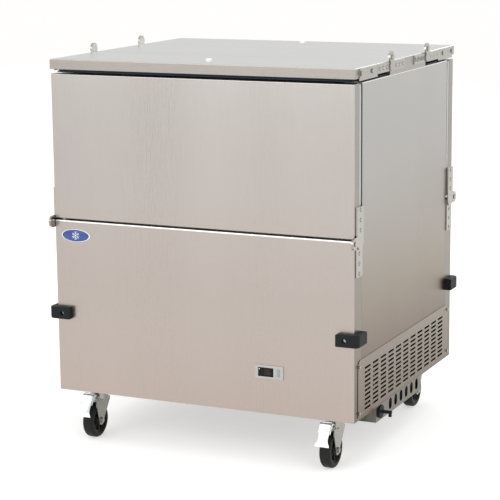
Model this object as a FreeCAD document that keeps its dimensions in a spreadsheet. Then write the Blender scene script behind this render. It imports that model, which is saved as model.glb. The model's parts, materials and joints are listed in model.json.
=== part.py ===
import FreeCAD, Part
import math
import os
import re
import Sketcher
from FreeCAD import Vector

# School milk crate cooler with a drop door and a folding lid at the front and at the rear.
# Frame: +X right, +Y rear, +Z up, millimetres.  The origin is on the floor under the middle of the body.
# Levels are measured from the underside of the body, which stands under_height above the floor.

SIZES = {
    # cabinet
    "body_width": 864, "body_depth": 764, "under_height": 138, "sheet_metal": 1.2, "bend_radius": 2,
    "insulated_wall": 50, "sill_height": 472, "fold_gap": 5, "door_height": 387.5, "lid_gap": 12.5,
    "lid_height": 26, "lid_overhang": 2, "corner_wrap": 49, "seam": 0.5, "machine_height": 160,
    "floor_foam": 50, "base_plate": 3, "rail_half": 137.5,
    # doors and lids
    "shell_depth": 34, "door_liner_depth": 11, "door_seal": 7.7, "door_seal_width": 22, "seal_inset": 6,
    "top_step": 4, "rim_strip": 2.5, "lid_seal": 9.5, "lid_seal_width": 20, "lid_seal_side": 17,
    "lid_seal_front": 10, "lid_plug": 10, "rest_button_radius": 8, "rest_button_height": 7,
    "rest_button_from_middle": 310, "fit_gap": 0.3,
    # hinges
    "pivot_offset": 9, "pivot_drop": 4.5, "lid_pivot_half": 139, "leaf_sheet": 3, "pin_radius": 4,
    "pin_clearance": 0.05, "pin_head_radius": 6.5, "pin_head_height": 2, "ear_radius": 15.5,
    "ear_reach": 18, "door_strap_width": 41, "door_strap_inset": 7, "door_strap_length": 90,
    "lid_strap_width": 24, "lid_strap_inset": 2, "lid_strap_length": 97, "rivet_first": 30,
    "rivet_pitch": 26, "rivet_radius": 4, "rivet_height": 2.4, "keeper_outer": 357, "keeper_inner": 237,
    "keeper_drop": 6, "keeper_screw_outer": 351, "keeper_screw_inner": 276, "screw_head_radius": 5,
    "screw_head_height": 3,
    # corner bumpers
    "bumper_leg": 45, "bumper_height": 33, "bumper_depth": 17.5, "bumper_level": 218,
    "bumper_corner": 14, "bumper_round": 3, "bumper_screw_side": 22, "bumper_screw_seat": 7,
    "bumper_well_radius": 6,
    # side grille
    "grille_half": 357.5, "grille_low": 8, "grille_high": 158, "grille_corner": 18, "grille_sheet": 1.5,
    "slot_length": 42, "slot_width": 5.8, "slot_columns": 11, "column_pitch": 58, "slot_rows": 10,
    "row_pitch": 12, "row_first": 21, "grille_window": 322, "grille_screw_half": 351.5,
    "grille_screw_radius": 4.5, "grille_window_inset": 6, "grille_screw_low": 19,
    "grille_screw_high": 141,
    # condensing unit
    "tray_front": 208, "tray_rear": 147, "tray_left": 152, "tray_face": 426, "tray_depth": 46,
    "oval_count": 6, "oval_pitch": 42, "oval_first": 99, "oval_width": 23, "oval_height": 31,
    "oval_level": 21, "tray_flange": 18, "tray_play": 2, "hook_place": 181, "hook_level": 21,
    "hook_disc_radius": 18, "hook_disc": 6, "hook_stem_radius": 4.5, "hook_reach": 34, "hook_tip": 12,
    "coil_depth": 34, "coil_gap": 6, "coil_height": 176, "coil_front_gap": 14, "coil_rear_gap": 10,
    "shroud_inset": 6, "fan_radius": 74, "fan_level": 46, "fan_place": 40, "fan_depth": 24,
    "shroud_depth": 26, "shroud_clearance": 5, "motor_arm": 10, "motor_arm_half": 14,
    "motor_arm_sheet": 3, "blade_sheet": 2, "blade_pitch": 28, "blade_edge": 1.5, "shaft_radius": 4,
    "motor_radius": 32, "motor_length": 46, "compressor_radius": 62, "compressor_height": 150,
    "compressor_x": 226, "compressor_y": 50, "compressor_lift": 14, "compressor_foot": 6,
    "foot_inset": 4, "mount_radius": 9, "mount_height": 11, "mount_from_rim": 14, "pipe_radius": 4,
    "pipe_port": 90, "pipe_out": 28, "pipe_drop": 12, "pipe_from_rear": 24,
    # inside
    "evaporator_depth": 44, "evaporator_half": 210, "evaporator_low": 300, "evaporator_high": 560,
    "cover_depth": 66, "cover_margin": 12, "cover_lip": 10, "evaporator_fan_radius": 62,
    "evaporator_fan_depth": 16, "evaporator_motor_radius": 22, "evaporator_motor_length": 10,
    "rack_height": 14, "rack_bar": 10, "rack_bars": 9, "rack_gap": 6, "rack_side_bar": 0.8,
    # controller and badge
    "control_x": 197, "control_level": 112, "control_width": 80, "control_height": 36,
    "control_proud": 4, "control_body_width": 70, "control_body_height": 28, "control_body_depth": 52,
    "control_play": 0.5, "window_sink": 1.5, "button_proud": 1.2, "window_width": 48,
    "window_height": 24, "window_shift": 11, "button_size": 8, "button_pitch": 11, "button_shift": 27,
    "button_travel": 1, "badge_x": 369, "badge_level": 432, "badge_width": 86, "badge_height": 34,
    "badge_sheet": 2, "badge_corner": 12,
    # casters
    "caster_x": 350, "kingpin_from_end": 71, "trail": 26, "wheel_radius": 48, "wheel_width": 31,
    "hub_radius": 14, "axle_radius": 5, "fork_sheet": 3, "fork_gap": 1.5, "crown_sheet": 4,
    "crown_clear": 5, "race_radius": 25, "top_plate_x": 66, "top_plate_y": 84, "top_plate": 4,
    "kingpin_radius": 6, "kingpin_head": 10, "kingpin_head_height": 4, "kingpin_under": 3,
    "tread_step": 4, "tyre_depth": 15, "rim_lip": 2, "tyre_shoulder": 6, "tyre_corner": 5,
    "leg_half": 13, "leg_front": 24, "leg_drop": 10, "crown_rear": 12, "axle_cap_height": 4,
    "axle_cap_rim": 3, "axle_end": 5, "plate_bolt_radius": 6, "plate_bolt_height": 5,
    "plate_bolt_inset": 9, "pedal_pivot_forward": 16, "pedal_pivot_up": 5, "pedal_pin_radius": 3,
    "pedal_pin_end": 2, "pedal_ear_radius": 9, "pedal_width": 30, "pedal_tip_width": 40,
    "cheek_sheet": 2,
    # cord outlet
    "gland_collar": 11, "gland_neck": 6.7, "gland_hole": 7, "gland_bore": 4.5, "gland_proud": 8,
    "gland_inside": 8, "gland_x": 330, "gland_level": 60,
}

doc = FreeCAD.newDocument("milk_cooler")
sheet = doc.addObject("Spreadsheet::Sheet", "Sizes")
for row, (alias, value) in enumerate(SIZES.items(), 1):
    sheet.set(f"A{row}", alias)
    sheet.set(f"B{row}", str(value))
    sheet.setAlias(f"B{row}", alias)
doc.recompute()

WORD = re.compile(r"[a-z][a-z_]*")
nodes = {}


def bound(text):
    """An expression in which each sheet alias is written with the sheet's name."""
    return WORD.sub(lambda m: f"Sizes.{m.group()}" if m.group() in SIZES else m.group(), str(text))


def size(text):
    """The present value of an expression, for shapes that code works out."""
    return float(sheet.evalExpression(bound(text)))


def level(text):
    """Height above the floor of a level measured from the underside of the body."""
    return f"(under_height + {text})"


def span(side, near, far):
    """The interval from near to far on the given side of the middle."""
    return (near, far) if side > 0 else (f"-({far})", f"-({near})")


def place(thing, at):
    for axis, text in zip("xyz", at):
        thing.setExpression(f"Placement.Base.{axis}", bound(text))
    return thing


def block(x, y, z):
    box = doc.addObject("Part::Box", "block")
    for prop, (low, high) in zip(("Length", "Width", "Height"), (x, y, z)):
        box.setExpression(prop, bound(f"({high}) - ({low})"))
    return place(box, (x[0], y[0], z[0]))


TURNS = {"x": ((0, 1, 0), 90), "y": ((1, 0, 0), -90), "z": ((0, 0, 1), 0)}


def rod(axis, at, radius, length, kind="Part::Cylinder"):
    tube = doc.addObject(kind, "rod")
    turn_axis, angle = TURNS[axis]
    tube.Placement = FreeCAD.Placement(Vector(), FreeCAD.Rotation(Vector(*turn_axis), angle))
    tube.setExpression("Radius", bound(radius))
    tube.setExpression("Height", bound(length))
    return place(tube, at)


def fuse(*things):
    whole = doc.addObject("Part::MultiFuse", "fused")
    whole.Shapes = list(things)
    return whole


def cut(base, *tools):
    for tool in tools:
        rest = doc.addObject("Part::Cut", "cut")
        rest.Base, rest.Tool = base, tool
        base = rest
    return base


def rounded(base, radius, picks):
    """Rounds the straight edges that picks(edge) chooses."""
    doc.recompute()
    result = doc.addObject("Part::Fillet", "rounded")
    result.Base = base
    amount = size(radius)
    edges = [i for i, edge in enumerate(base.Shape.Edges, 1) if picks(edge)]
    result.Edges = [(i, amount, amount) for i in edges]
    return result


def solid(label, shape):
    """A Part::Feature for a shape that code works out from the sheet."""
    feature = doc.addObject("Part::Feature", "piece")
    feature.Shape = shape
    feature.Placement = FreeCAD.Placement()
    return node(label, feature)


def node(label, *things):
    """Names one sub-part, which is one object or a group of separate solids."""
    piece = things[0]
    if len(things) > 1:
        piece = doc.addObject("Part::Compound", label)
        piece.Links = list(things)
    piece.Label = label
    nodes[label] = piece
    return piece


def tie(sketch, kind, elements, text):
    """Adds one dimension to a sketch and binds it to the sheet."""
    number = sketch.addConstraint(Sketcher.Constraint(kind, *elements, size(text)))
    sketch.setExpression(f"Constraints[{number}]", bound(text))


def draw(body, plane, outlines, circles=()):
    """A sketch of closed polygons and circles with every corner tied to the sheet."""
    sketch = body.newObject("Sketcher::SketchObject", "sketch")
    base = next(f for f in body.Origin.OriginFeatures if f.Role == plane)
    sketch.AttachmentSupport = [(base, "")]
    sketch.MapMode = "FlatFace"
    for corners in outlines:
        first, count = sketch.GeometryCount, len(corners)
        points = [Vector(size(a), size(b), 0) for a, b in corners]
        for here, there in zip(points, points[1:] + points[:1]):
            sketch.addGeometry(Part.LineSegment(here, there))
        for i, (a, b) in enumerate(corners):
            sketch.addConstraint(
                Sketcher.Constraint("Coincident", first + (i - 1) % count, 2, first + i, 1))
            tie(sketch, "DistanceX", (-1, 1, first + i, 1), a)
            tie(sketch, "DistanceY", (-1, 1, first + i, 1), b)
    for a, b, radius in circles:
        ring = sketch.addGeometry(Part.Circle(Vector(size(a), size(b), 0), Vector(0, 0, 1), size(radius)))
        tie(sketch, "DistanceX", (-1, 1, ring, 3), a)
        tie(sketch, "DistanceY", (-1, 1, ring, 3), b)
        tie(sketch, "Radius", (ring,), radius)
    return sketch


def plate(plane, outlines, depth, at=(0, 0, 0), circles=()):
    """A flat piece padded from a drawn outline along the plane's own normal."""
    body = doc.addObject("PartDesign::Body", "plate")
    sketch = draw(body, plane, outlines, circles)
    pad = body.newObject("PartDesign::Pad", "pad")
    pad.Profile = sketch
    pad.setExpression("Length", bound(depth))
    body.Tip = pad
    return place(body, at)


def turned(outline, at=(0, 0, 0)):
    """A piece turned about the X axis from half of its section, drawn as (along X, radius)."""
    body = doc.addObject("PartDesign::Body", "turned")
    sketch = draw(body, "XY_Plane", [outline])
    spin = body.newObject("PartDesign::Revolution", "spin")
    spin.Profile = sketch
    spin.ReferenceAxis = (next(f for f in body.Origin.OriginFeatures if f.Role == "X_Axis"), [""])
    spin.Angle = 360
    body.Tip = spin
    return place(body, at)


def rectangle(a, b):
    return [(a[0], b[0]), (a[1], b[0]), (a[1], b[1]), (a[0], b[1])]


def draw_slot(sketch, a, b, half_length, radius):
    """Adds a slot with round ends: two straight runs tangent to an arc at each end."""
    middle, up, reach = Vector(size(a), size(b), 0), size(radius), size(half_length)
    left, right = middle - Vector(reach - up, 0, 0), middle + Vector(reach - up, 0, 0)
    lift, out = Vector(0, up, 0), Vector(0, 0, 1)
    low = sketch.addGeometry(Part.LineSegment(left - lift, right - lift))
    end = sketch.addGeometry(Part.ArcOfCircle(Part.Circle(right, out, up), -math.pi / 2, math.pi / 2))
    high = sketch.addGeometry(Part.LineSegment(right + lift, left + lift))
    start = sketch.addGeometry(Part.ArcOfCircle(Part.Circle(left, out, up), math.pi / 2, 3 * math.pi / 2))
    for first, first_point, second, second_point in ((low, 2, end, 1), (end, 2, high, 1), (high, 2, start, 1),
                                                     (start, 2, low, 1)):
        sketch.addConstraint(Sketcher.Constraint("Tangent", first, first_point, second, second_point))
    tie(sketch, "DistanceX", (-1, 1, end, 3), f"{a} + {half_length} - {radius}")
    tie(sketch, "DistanceY", (-1, 1, end, 3), b)
    tie(sketch, "DistanceX", (-1, 1, start, 3), f"{a} - {half_length} + {radius}")
    tie(sketch, "DistanceY", (-1, 1, start, 3), b)
    tie(sketch, "Radius", (end,), radius)


HALF_X, HALF_Y = "body_width / 2", "body_depth / 2"
DOOR_LOW = level("sill_height + fold_gap")
DOOR_TOP = level("sill_height + fold_gap + door_height")
LID_LOW = f"({DOOR_TOP} + lid_gap)"
LID_TOP = f"({LID_LOW} + lid_height)"
FLOOR_TOP = level("machine_height + floor_foam")
WELL_X = f"({HALF_X} - insulated_wall)"
WELL_Y = f"({HALF_Y} - insulated_wall)"
SEAL_BACK = f"({HALF_Y} - shell_depth - door_liner_depth)"
JAMB = f"({SEAL_BACK} - door_seal - fit_gap)"
FRONT, REAR = -1, 1
ENDS = {"front": FRONT, "rear": REAR}
BOTH = (-1, 1)


# ---- cabinet shell ----------------------------------------------------------------------------

def side_panel(side):
    """The outer skin of one side: narrower above the sill, where the doors close against it."""
    low, high, sill = level(0), DOOR_TOP, level("sill_height")
    wide, narrow = f"{HALF_Y} - corner_wrap - seam", JAMB
    corners = [(f"-({wide})", low), (wide, low), (wide, sill), (narrow, sill), (narrow, high),
               (f"-({narrow})", high), (f"-({narrow})", sill), (f"-({wide})", sill)]
    start = f"{HALF_X} - sheet_metal" if side > 0 else f"-({HALF_X})"
    window = []
    if side > 0:
        window = [rectangle(("-grille_window", "grille_window"),
                            (level("grille_low + grille_window_inset"),
                             level("grille_high - grille_window_inset")))]
    return plate("YZ_Plane", [corners] + window, "sheet_metal", (start, 0, 0))


node("side_panel_left", side_panel(-1))
node("side_panel_right", side_panel(1))


def face_edge(edge, end):
    """True for the upper and upright edges round the outward face of a front or rear panel."""
    on_face = abs(edge.BoundBox.Center.y - end * size(HALF_Y)) < 0.01
    return on_face and edge.BoundBox.ZMax > size(level(1))


def lower_panel(end):
    """The sheet below a door: flat face, sides wrapped round the corners, top and bottom turned in."""
    outer = block((f"-({HALF_X})", HALF_X), span(end, f"{HALF_Y} - corner_wrap", HALF_Y),
                  (level(0), level("sill_height")))
    outer = rounded(outer, "bend_radius", lambda edge: face_edge(edge, end))
    inside = block((f"-({HALF_X} - sheet_metal)", f"{HALF_X} - sheet_metal"),
                   span(end, f"{HALF_Y} - corner_wrap - 1", f"{HALF_Y} - sheet_metal"),
                   (level("sheet_metal"), level("sill_height - sheet_metal")))
    return cut(outer, inside)


CONTROL_HALF = {"x": "(control_body_width / 2 + control_play)", "z": "(control_body_height / 2 + control_play)"}
THROUGH = (f"{HALF_Y} - 2 * sheet_metal", f"{HALF_Y} + sheet_metal")
control_window = block(
    (f"control_x - {CONTROL_HALF['x']}", f"control_x + {CONTROL_HALF['x']}"), span(FRONT, *THROUGH),
    (level(f"control_level - {CONTROL_HALF['z']}"), level(f"control_level + {CONTROL_HALF['z']}")))
gland_hole = rod("y", ("gland_x", THROUGH[0], level("gland_level")), "gland_hole", "3 * sheet_metal")
node("lower_front_panel", cut(lower_panel(FRONT), control_window))
node("lower_rear_panel", cut(lower_panel(REAR), gland_hole))

SKIN_X, SKIN_Y = f"({HALF_X} - sheet_metal)", f"({HALF_Y} - sheet_metal)"
SILL, SILL_UNDER = level("sill_height"), level("sill_height - sheet_metal")
JAMB_IN = f"({JAMB} - 2)"
FOAM_LOW = level("machine_height")
tub = [block((f"-{WELL_X}", WELL_X), (f"-{WELL_Y}", WELL_Y), (f"{FLOOR_TOP} - sheet_metal", FLOOR_TOP))]
foam = [block((f"-{WELL_X}", WELL_X), (f"-{WELL_Y}", WELL_Y), (FOAM_LOW, f"{FLOOR_TOP} - sheet_metal"))]
rim = []
for side in BOTH:
    liner_back = f"{WELL_X} + sheet_metal"
    upper_y = (f"-{JAMB_IN}", JAMB_IN)
    tub.append(block(span(side, WELL_X, liner_back), (f"-{WELL_Y}", WELL_Y), (FLOOR_TOP, SILL_UNDER)))
    tub.append(block(span(side, WELL_X, liner_back), upper_y, (SILL_UNDER, DOOR_TOP)))
    foam.append(block(span(side, liner_back, SKIN_X), upper_y, (FOAM_LOW, DOOR_TOP)))
    seal_edge = f"{HALF_X} - lid_seal_side + lid_overhang + 4"
    for end in BOTH:
        rim.append(block(span(side, WELL_X, seal_edge), span(end, "rail_half", JAMB_IN),
                         (DOOR_TOP, f"{DOOR_TOP} + rim_strip")))
        rim.append(block(span(side, WELL_X, SKIN_X), span(end, JAMB_IN, JAMB), (SILL, DOOR_TOP)))
for end in BOTH:
    liner_back = f"{WELL_Y} + sheet_metal"
    tub.append(block((f"-{WELL_X}", WELL_X), span(end, WELL_Y, liner_back), (FLOOR_TOP, SILL_UNDER)))
    foam.append(block((f"-{SKIN_X}", SKIN_X), span(end, liner_back, SKIN_Y), (FOAM_LOW, SILL_UNDER)))
    across = (f"-{WELL_X}", WELL_X)
    rim.append(block(across, span(end, JAMB_IN, f"{HALF_Y} - corner_wrap"), (SILL_UNDER, SILL)))
    rim.append(block(across, span(end, JAMB_IN, JAMB), (SILL, level("sill_height + seal_inset + 20"))))
node("liner_tub", *tub)
node("rim_strips", *rim)


def floor_plate(x, y):
    return block(x, y, (level("sheet_metal"), level("sheet_metal + base_plate")))


node("base_deck",
     floor_plate((f"-{SKIN_X}", "tray_left - tray_play"), (f"-{SKIN_Y}", SKIN_Y)),
     floor_plate(("tray_left - tray_play", SKIN_X), (f"-{SKIN_Y}", "-tray_front - tray_play")),
     floor_plate(("tray_left - tray_play", SKIN_X), ("tray_rear + tray_play", SKIN_Y)))

# ---- centre rail -------------------------------------------------------------------------------

LID_X = f"({HALF_X} + lid_overhang)"
rail = rounded(block((f"-{LID_X}", LID_X), ("-rail_half", "rail_half"), (DOOR_TOP, LID_TOP)),
               "bend_radius / 2", lambda edge: edge.BoundBox.ZMin > size(LID_TOP) - 0.01)
RAIL_Y = ("-(rail_half - sheet_metal)", "rail_half - sheet_metal")
node("centre_rail", cut(rail, block((f"-({LID_X} - sheet_metal)", f"{LID_X} - sheet_metal"), RAIL_Y,
                                    (f"{DOOR_TOP} - 1", f"{LID_TOP} - sheet_metal"))))
RAIL_FLOOR = f"({DOOR_TOP} + rim_strip)"
rail_x = (f"-({LID_X} - 24)", f"{LID_X} - 24")
node("rail_liner", block(rail_x, RAIL_Y, (RAIL_FLOOR, f"{RAIL_FLOOR} + sheet_metal")))
foam.append(block(rail_x, RAIL_Y, (f"{RAIL_FLOOR} + sheet_metal", f"{LID_TOP} - sheet_metal")))
node("foam_insulation", *foam)

# ---- doors and lids ----------------------------------------------------------------------------


def shell(x, y, z, open_y=None, open_z=None, edges=None):
    """A folded sheet box with one open side, its outer edges rounded to the bend radius."""
    outer = rounded(block(x, y, z), "bend_radius", edges)
    metal = "sheet_metal"
    in_x = (f"{x[0]} + {metal}", f"{x[1]} - {metal}")
    in_y = (f"{y[0]} + {metal}", f"{y[1]} - {metal}")
    in_z = (f"{z[0]} + {metal}", f"{z[1]} - {metal}")
    if open_y:
        in_y = (f"{y[0]} - 1", in_y[1]) if open_y < 0 else (in_y[0], f"{y[1]} + 1")
    if open_z:
        in_z = (f"{z[0]} - 1", in_z[1])
    return cut(outer, block(in_x, in_y, in_z))


def ring(x, y, z, width, flat):
    """A closed frame of one section: the block x, y, z with its middle taken out along one axis."""
    inner = {axis: (f"{low} + {width}", f"{high} - {width}")
             for axis, (low, high) in {"x": x, "y": y, "z": z}.items()}
    low, high = {"y": y, "z": z}[flat]
    inner[flat] = (f"{low} - 1", f"{high} + 1")
    return cut(block(x, y, z), block(inner["x"], inner["y"], inner["z"]))


def door(name, end):
    face, back = HALF_Y, f"{HALF_Y} - shell_depth"
    wide = (f"-({HALF_X})", HALF_X)
    turn = end * size(HALF_Y)
    node(f"{name}_door_skin",
         shell(wide, span(end, back, face), (DOOR_LOW, DOOR_TOP), open_y=-end,
               edges=lambda edge: abs(edge.BoundBox.Center.y - turn) < 0.01))
    pan_x = (f"-({HALF_X} - 1)", f"{HALF_X} - 1")
    core_x = (f"-{SKIN_X}", SKIN_X)
    pan = block(pan_x, span(end, SEAL_BACK, back), (f"{DOOR_LOW} + 1", f"{DOOR_TOP} - top_step"))
    core = block(core_x, span(end, back, f"{face} - sheet_metal"),
                 (f"{DOOR_LOW} + sheet_metal", f"{DOOR_TOP} - sheet_metal"))
    node(f"{name}_door_liner", pan, core)
    seal_x = (f"-({HALF_X} - seal_inset)", f"{HALF_X} - seal_inset")
    seal_z = (f"{DOOR_LOW} + seal_inset", f"{DOOR_TOP} - top_step - seal_inset")
    node(f"{name}_door_gasket",
         ring(seal_x, span(end, f"{SEAL_BACK} - door_seal", SEAL_BACK), seal_z, "door_seal_width", "y"))


def lid(name, end):
    wide = (f"-{LID_X}", LID_X)
    deep = span(end, "lid_pivot_half", f"{HALF_Y} + lid_overhang")
    node(f"{name}_lid_skin",
         shell(wide, deep, (LID_LOW, LID_TOP), open_z=-1,
               edges=lambda edge: edge.BoundBox.ZMin > size(LID_TOP) - 0.01 or edge.BoundBox.ZLength > 1))
    seal_x = f"{LID_X} - lid_seal_side"
    seal_y = ("lid_pivot_half + lid_seal_front", f"{HALF_Y} + lid_overhang - lid_seal_front")
    plug_x = f"{seal_x} - lid_seal_width"
    plug_y = (f"{seal_y[0]} + lid_seal_width", f"{seal_y[1]} - lid_seal_width")
    core = block((f"-({LID_X} - sheet_metal)", f"{LID_X} - sheet_metal"),
                 span(end, "lid_pivot_half + sheet_metal", f"{HALF_Y} + lid_overhang - sheet_metal"),
                 (LID_LOW, f"{LID_TOP} - sheet_metal"))
    plug = block((f"-({plug_x})", plug_x), span(end, *plug_y), (f"{LID_LOW} - lid_plug", LID_LOW))
    node(f"{name}_lid_liner", fuse(core, plug))
    node(f"{name}_lid_gasket",
         ring((f"-({seal_x})", seal_x), span(end, *seal_y), (f"{LID_LOW} - lid_seal", LID_LOW),
              "lid_seal_width", "z"))
    button = rod("z", (0, f"{end} * rest_button_from_middle", LID_TOP), "rest_button_radius",
                 "rest_button_height")
    node(f"{name}_rest_button", rounded(button, "bend_radius",
                                        lambda edge: edge.BoundBox.ZMin > size(LID_TOP) + 1))


for name, end in ENDS.items():
    door(name, end)
    lid(name, end)

# ---- hinges ------------------------------------------------------------------------------------


class Frame:
    """Local directions of a hinge leaf: along its strap, outward from the face, and off the side."""

    def __init__(self, pivot, along, outward, side):
        self.pivot, self.along, self.outward = pivot, along, outward
        self.side = Vector(side, 0, 0)

    def at(self, u, v, w):
        return self.pivot + self.along * u + self.outward * v + self.side * w

    def block(self, u, v, w):
        corners = [self.at(a, b, c) for a in u for b in v for c in w]
        low = Vector(*[min(p[i] for p in corners) for i in range(3)])
        high = Vector(*[max(p[i] for p in corners) for i in range(3)])
        return Part.makeBox(*(high - low), low)

    def rod(self, u, v, w, radius):
        return Part.makeCylinder(radius, w[1] - w[0], self.at(u, v, w[0]), self.side)


LEAF, GAP = size("leaf_sheet"), size("fit_gap")
INNER = (GAP, LEAF)
OUTER = (LEAF + GAP, 2 * LEAF + GAP)


def leaf(frame, outboard, inset, width, length):
    """One hinge leaf: a strap, an arm to the pivot and a solid ear round it."""
    reach, eye = size("ear_reach"), size("ear_radius")
    near = -size("pivot_offset") - inset
    far = near - width
    sheet_span = OUTER if outboard else INNER
    pieces = [frame.block((reach, length), (far, near), (0, sheet_span[1])),
              frame.block((0, reach), (far, near), sheet_span),
              frame.block((-eye * 0.6, eye), (near - eye / 2, 0), sheet_span),
              frame.rod(0, 0, sheet_span, eye)]
    if outboard:
        pieces.append(frame.rod(0, (near + far) / 2, sheet_span, width / 2))
    return pieces[0].fuse(pieces[1:]).removeSplitter(), sheet_span


def rivets(frame, sheet_span, inset, width):
    """Three domed rivet heads on a strap."""
    middle, foot = -size("pivot_offset") - inset - width / 2, sheet_span[1]
    radius, height = size("rivet_radius"), size("rivet_height")
    dome_radius = (radius ** 2 + height ** 2) / (2 * height)
    heads = []
    for i in range(3):
        u = size("rivet_first") + i * size("rivet_pitch")
        ball = Part.makeSphere(dome_radius, frame.at(u, middle, foot + height - dome_radius))
        heads.append(ball.common(frame.rod(u, middle, (foot, foot + height + 1), radius + 1)))
    return heads


PIN, PLAY = size("pin_radius"), size("pin_clearance")


def hinge(pivot, side, moving_along, fixed_along, outward, moving_outboard, inset, width, length):
    """Both leaves of one hinge; the pin is riveted into the fixed leaf."""
    moving, fixed = Frame(pivot, moving_along, outward, side), Frame(pivot, fixed_along, outward, side)
    moving_leaf, moving_span = leaf(moving, moving_outboard, inset, width, length)
    fixed_leaf, fixed_span = leaf(fixed, not moving_outboard, inset, width, length)
    moving_leaf = moving_leaf.cut(moving.rod(0, 0, (-1, OUTER[1] + 1), PIN + PLAY))
    pin_end = OUTER[1] + GAP + size("pin_head_height")
    pin = fixed.rod(0, 0, (GAP, pin_end), PIN)
    head_start = OUTER[1] + GAP if moving_outboard else OUTER[1]
    head = fixed.rod(0, 0, (head_start, pin_end), size("pin_head_radius"))
    fixed_leaf = fixed_leaf.fuse([pin, head]).removeSplitter()
    return ([moving_leaf] + rivets(moving, moving_span, inset, width),
            [fixed_leaf] + rivets(fixed, fixed_span, inset, width))


fixed_parts = []
UP, ALONG_Y = Vector(0, 0, 1), Vector(0, 1, 0)
pivot_z = size(level("sill_height - pivot_drop"))
lid_pivot_z = size(f"{LID_TOP} + pivot_offset")
for name, end in ENDS.items():
    door_parts, lid_parts = [], []
    for side in BOTH:
        door_pivot = Vector(side * size(HALF_X), end * size(f"{HALF_Y} + pivot_offset"), pivot_z)
        moving, fixed = hinge(door_pivot, side, UP, -UP, ALONG_Y * end, True, size("door_strap_inset"),
                              size("door_strap_width"), size("door_strap_length"))
        door_parts += moving
        fixed_parts += fixed
        lid_pivot = Vector(side * size(LID_X), end * size("lid_pivot_half"), lid_pivot_z)
        moving, fixed = hinge(lid_pivot, side, ALONG_Y * end, ALONG_Y * -end, UP, end == REAR,
                              size("lid_strap_inset"), size("lid_strap_width"), size("lid_strap_length"))
        lid_parts += moving
        fixed_parts += fixed
        lid_frame = Frame(Vector(side * size(LID_X), 0, 0), ALONG_Y * end, UP, side)
        keeper = (size("keeper_inner"), size("keeper_outer"))
        low, high = size(f"{LID_LOW} - keeper_drop"), size(f"{LID_TOP} - lid_strap_inset")
        lid_parts.append(lid_frame.block(keeper, (low, high), (0, LEAF)))
        for place_y in ("keeper_screw_outer", "keeper_screw_inner"):
            head_level = size(f"{LID_LOW} + lid_height / 2 - 1")
            head_span = (LEAF, LEAF + size("screw_head_height"))
            lid_parts.append(lid_frame.rod(size(place_y), head_level, head_span, size("screw_head_radius")))
    solid(f"{name}_door_hinges", Part.makeCompound(door_parts))
    solid(f"{name}_lid_brackets", Part.makeCompound(lid_parts))
solid("fixed_hinge_leaves", Part.makeCompound(fixed_parts))

# ---- corner bumpers and outside fittings -------------------------------------------------------

bumpers, screws = [], []
bumper_z = (level("bumper_level - bumper_height / 2"), level("bumper_level + bumper_height / 2"))
beyond_z = (f"{bumper_z[0]} - 1", f"{bumper_z[1]} + 1")
SKIN = {"x": size(HALF_X), "y": size(HALF_Y)}


def outer_corner(edge):
    """True for the upright edge furthest from the middle of the body."""
    middle, out = edge.BoundBox.Center, size("bumper_depth") - 0.1
    return edge.BoundBox.ZLength > 1 and abs(middle.x) > SKIN["x"] + out and abs(middle.y) > SKIN["y"] + out


def top_and_bottom(edge):
    """True for the level edges round the outer face, and not for those that lie against the body."""
    box = edge.BoundBox
    return box.ZLength < 0.1 and (abs(box.Center.x) > SKIN["x"] + 5 or abs(box.Center.y) > SKIN["y"] + 5)


for side in BOTH:
    for end in BOTH:
        whole = block(span(side, f"{HALF_X} - bumper_leg", f"{HALF_X} + bumper_depth"),
                      span(end, f"{HALF_Y} - bumper_leg", f"{HALF_Y} + bumper_depth"), bumper_z)
        body_corner = block(span(side, f"{HALF_X} - bumper_leg - 1", HALF_X),
                            span(end, f"{HALF_Y} - bumper_leg - 1", HALF_Y), beyond_z)
        soft = rounded(rounded(cut(whole, body_corner), "bumper_corner", outer_corner), "bumper_round",
                       top_and_bottom)
        seat, face = f"{HALF_Y} + bumper_screw_seat", f"{HALF_Y} + bumper_depth + 1"
        screw_x = f"{side} * ({HALF_X} - bumper_screw_side)"
        low_end, high_end = span(end, seat, face)
        well = rod("y", (screw_x, low_end, level("bumper_level")), "bumper_well_radius",
                   f"({high_end}) - ({low_end})")
        bumpers.append(cut(soft, well))
        head_low = span(end, seat, f"{seat} + screw_head_height")[0]
        screws.append(rod("y", (screw_x, head_low, level("bumper_level")), "screw_head_radius",
                          "screw_head_height"))
node("corner_bumpers", *bumpers)

grille_body = doc.addObject("PartDesign::Body", "grille")
low, high = level("grille_low"), level("grille_high")
pad = grille_body.newObject("PartDesign::Pad", "sheet")
pad.Profile = draw(grille_body, "YZ_Plane", [rectangle(("-grille_half", "grille_half"), (low, high))])
pad.setExpression("Length", bound("grille_sheet"))
grille_body.Tip = pad
doc.recompute()
top_corners = [f"Edge{i}" for i, edge in enumerate(pad.Shape.Edges, 1)
               if edge.BoundBox.XLength > 1 and edge.BoundBox.ZMin > size(high) - 0.1]
fillet = grille_body.newObject("PartDesign::Fillet", "corners")
fillet.Base = (pad, top_corners)
fillet.setExpression("Radius", "Sizes.grille_corner")
doc.recompute()
grille_body.Tip = fillet
slot = grille_body.newObject("PartDesign::Pocket", "slot")
first_y = "-((slot_columns - 1) / 2 * column_pitch)"
slot_sketch = draw(grille_body, "YZ_Plane", [])
draw_slot(slot_sketch, first_y, level("row_first"), "slot_length / 2", "slot_width / 2")
slot.Profile = slot_sketch
slot.Type = 1
slot.Midplane = True
doc.recompute()
grid = grille_body.newObject("PartDesign::MultiTransform", "grid")
grid.Originals = [slot]
runs = []
axes = {f.Role: f for f in grille_body.Origin.OriginFeatures}
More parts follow.
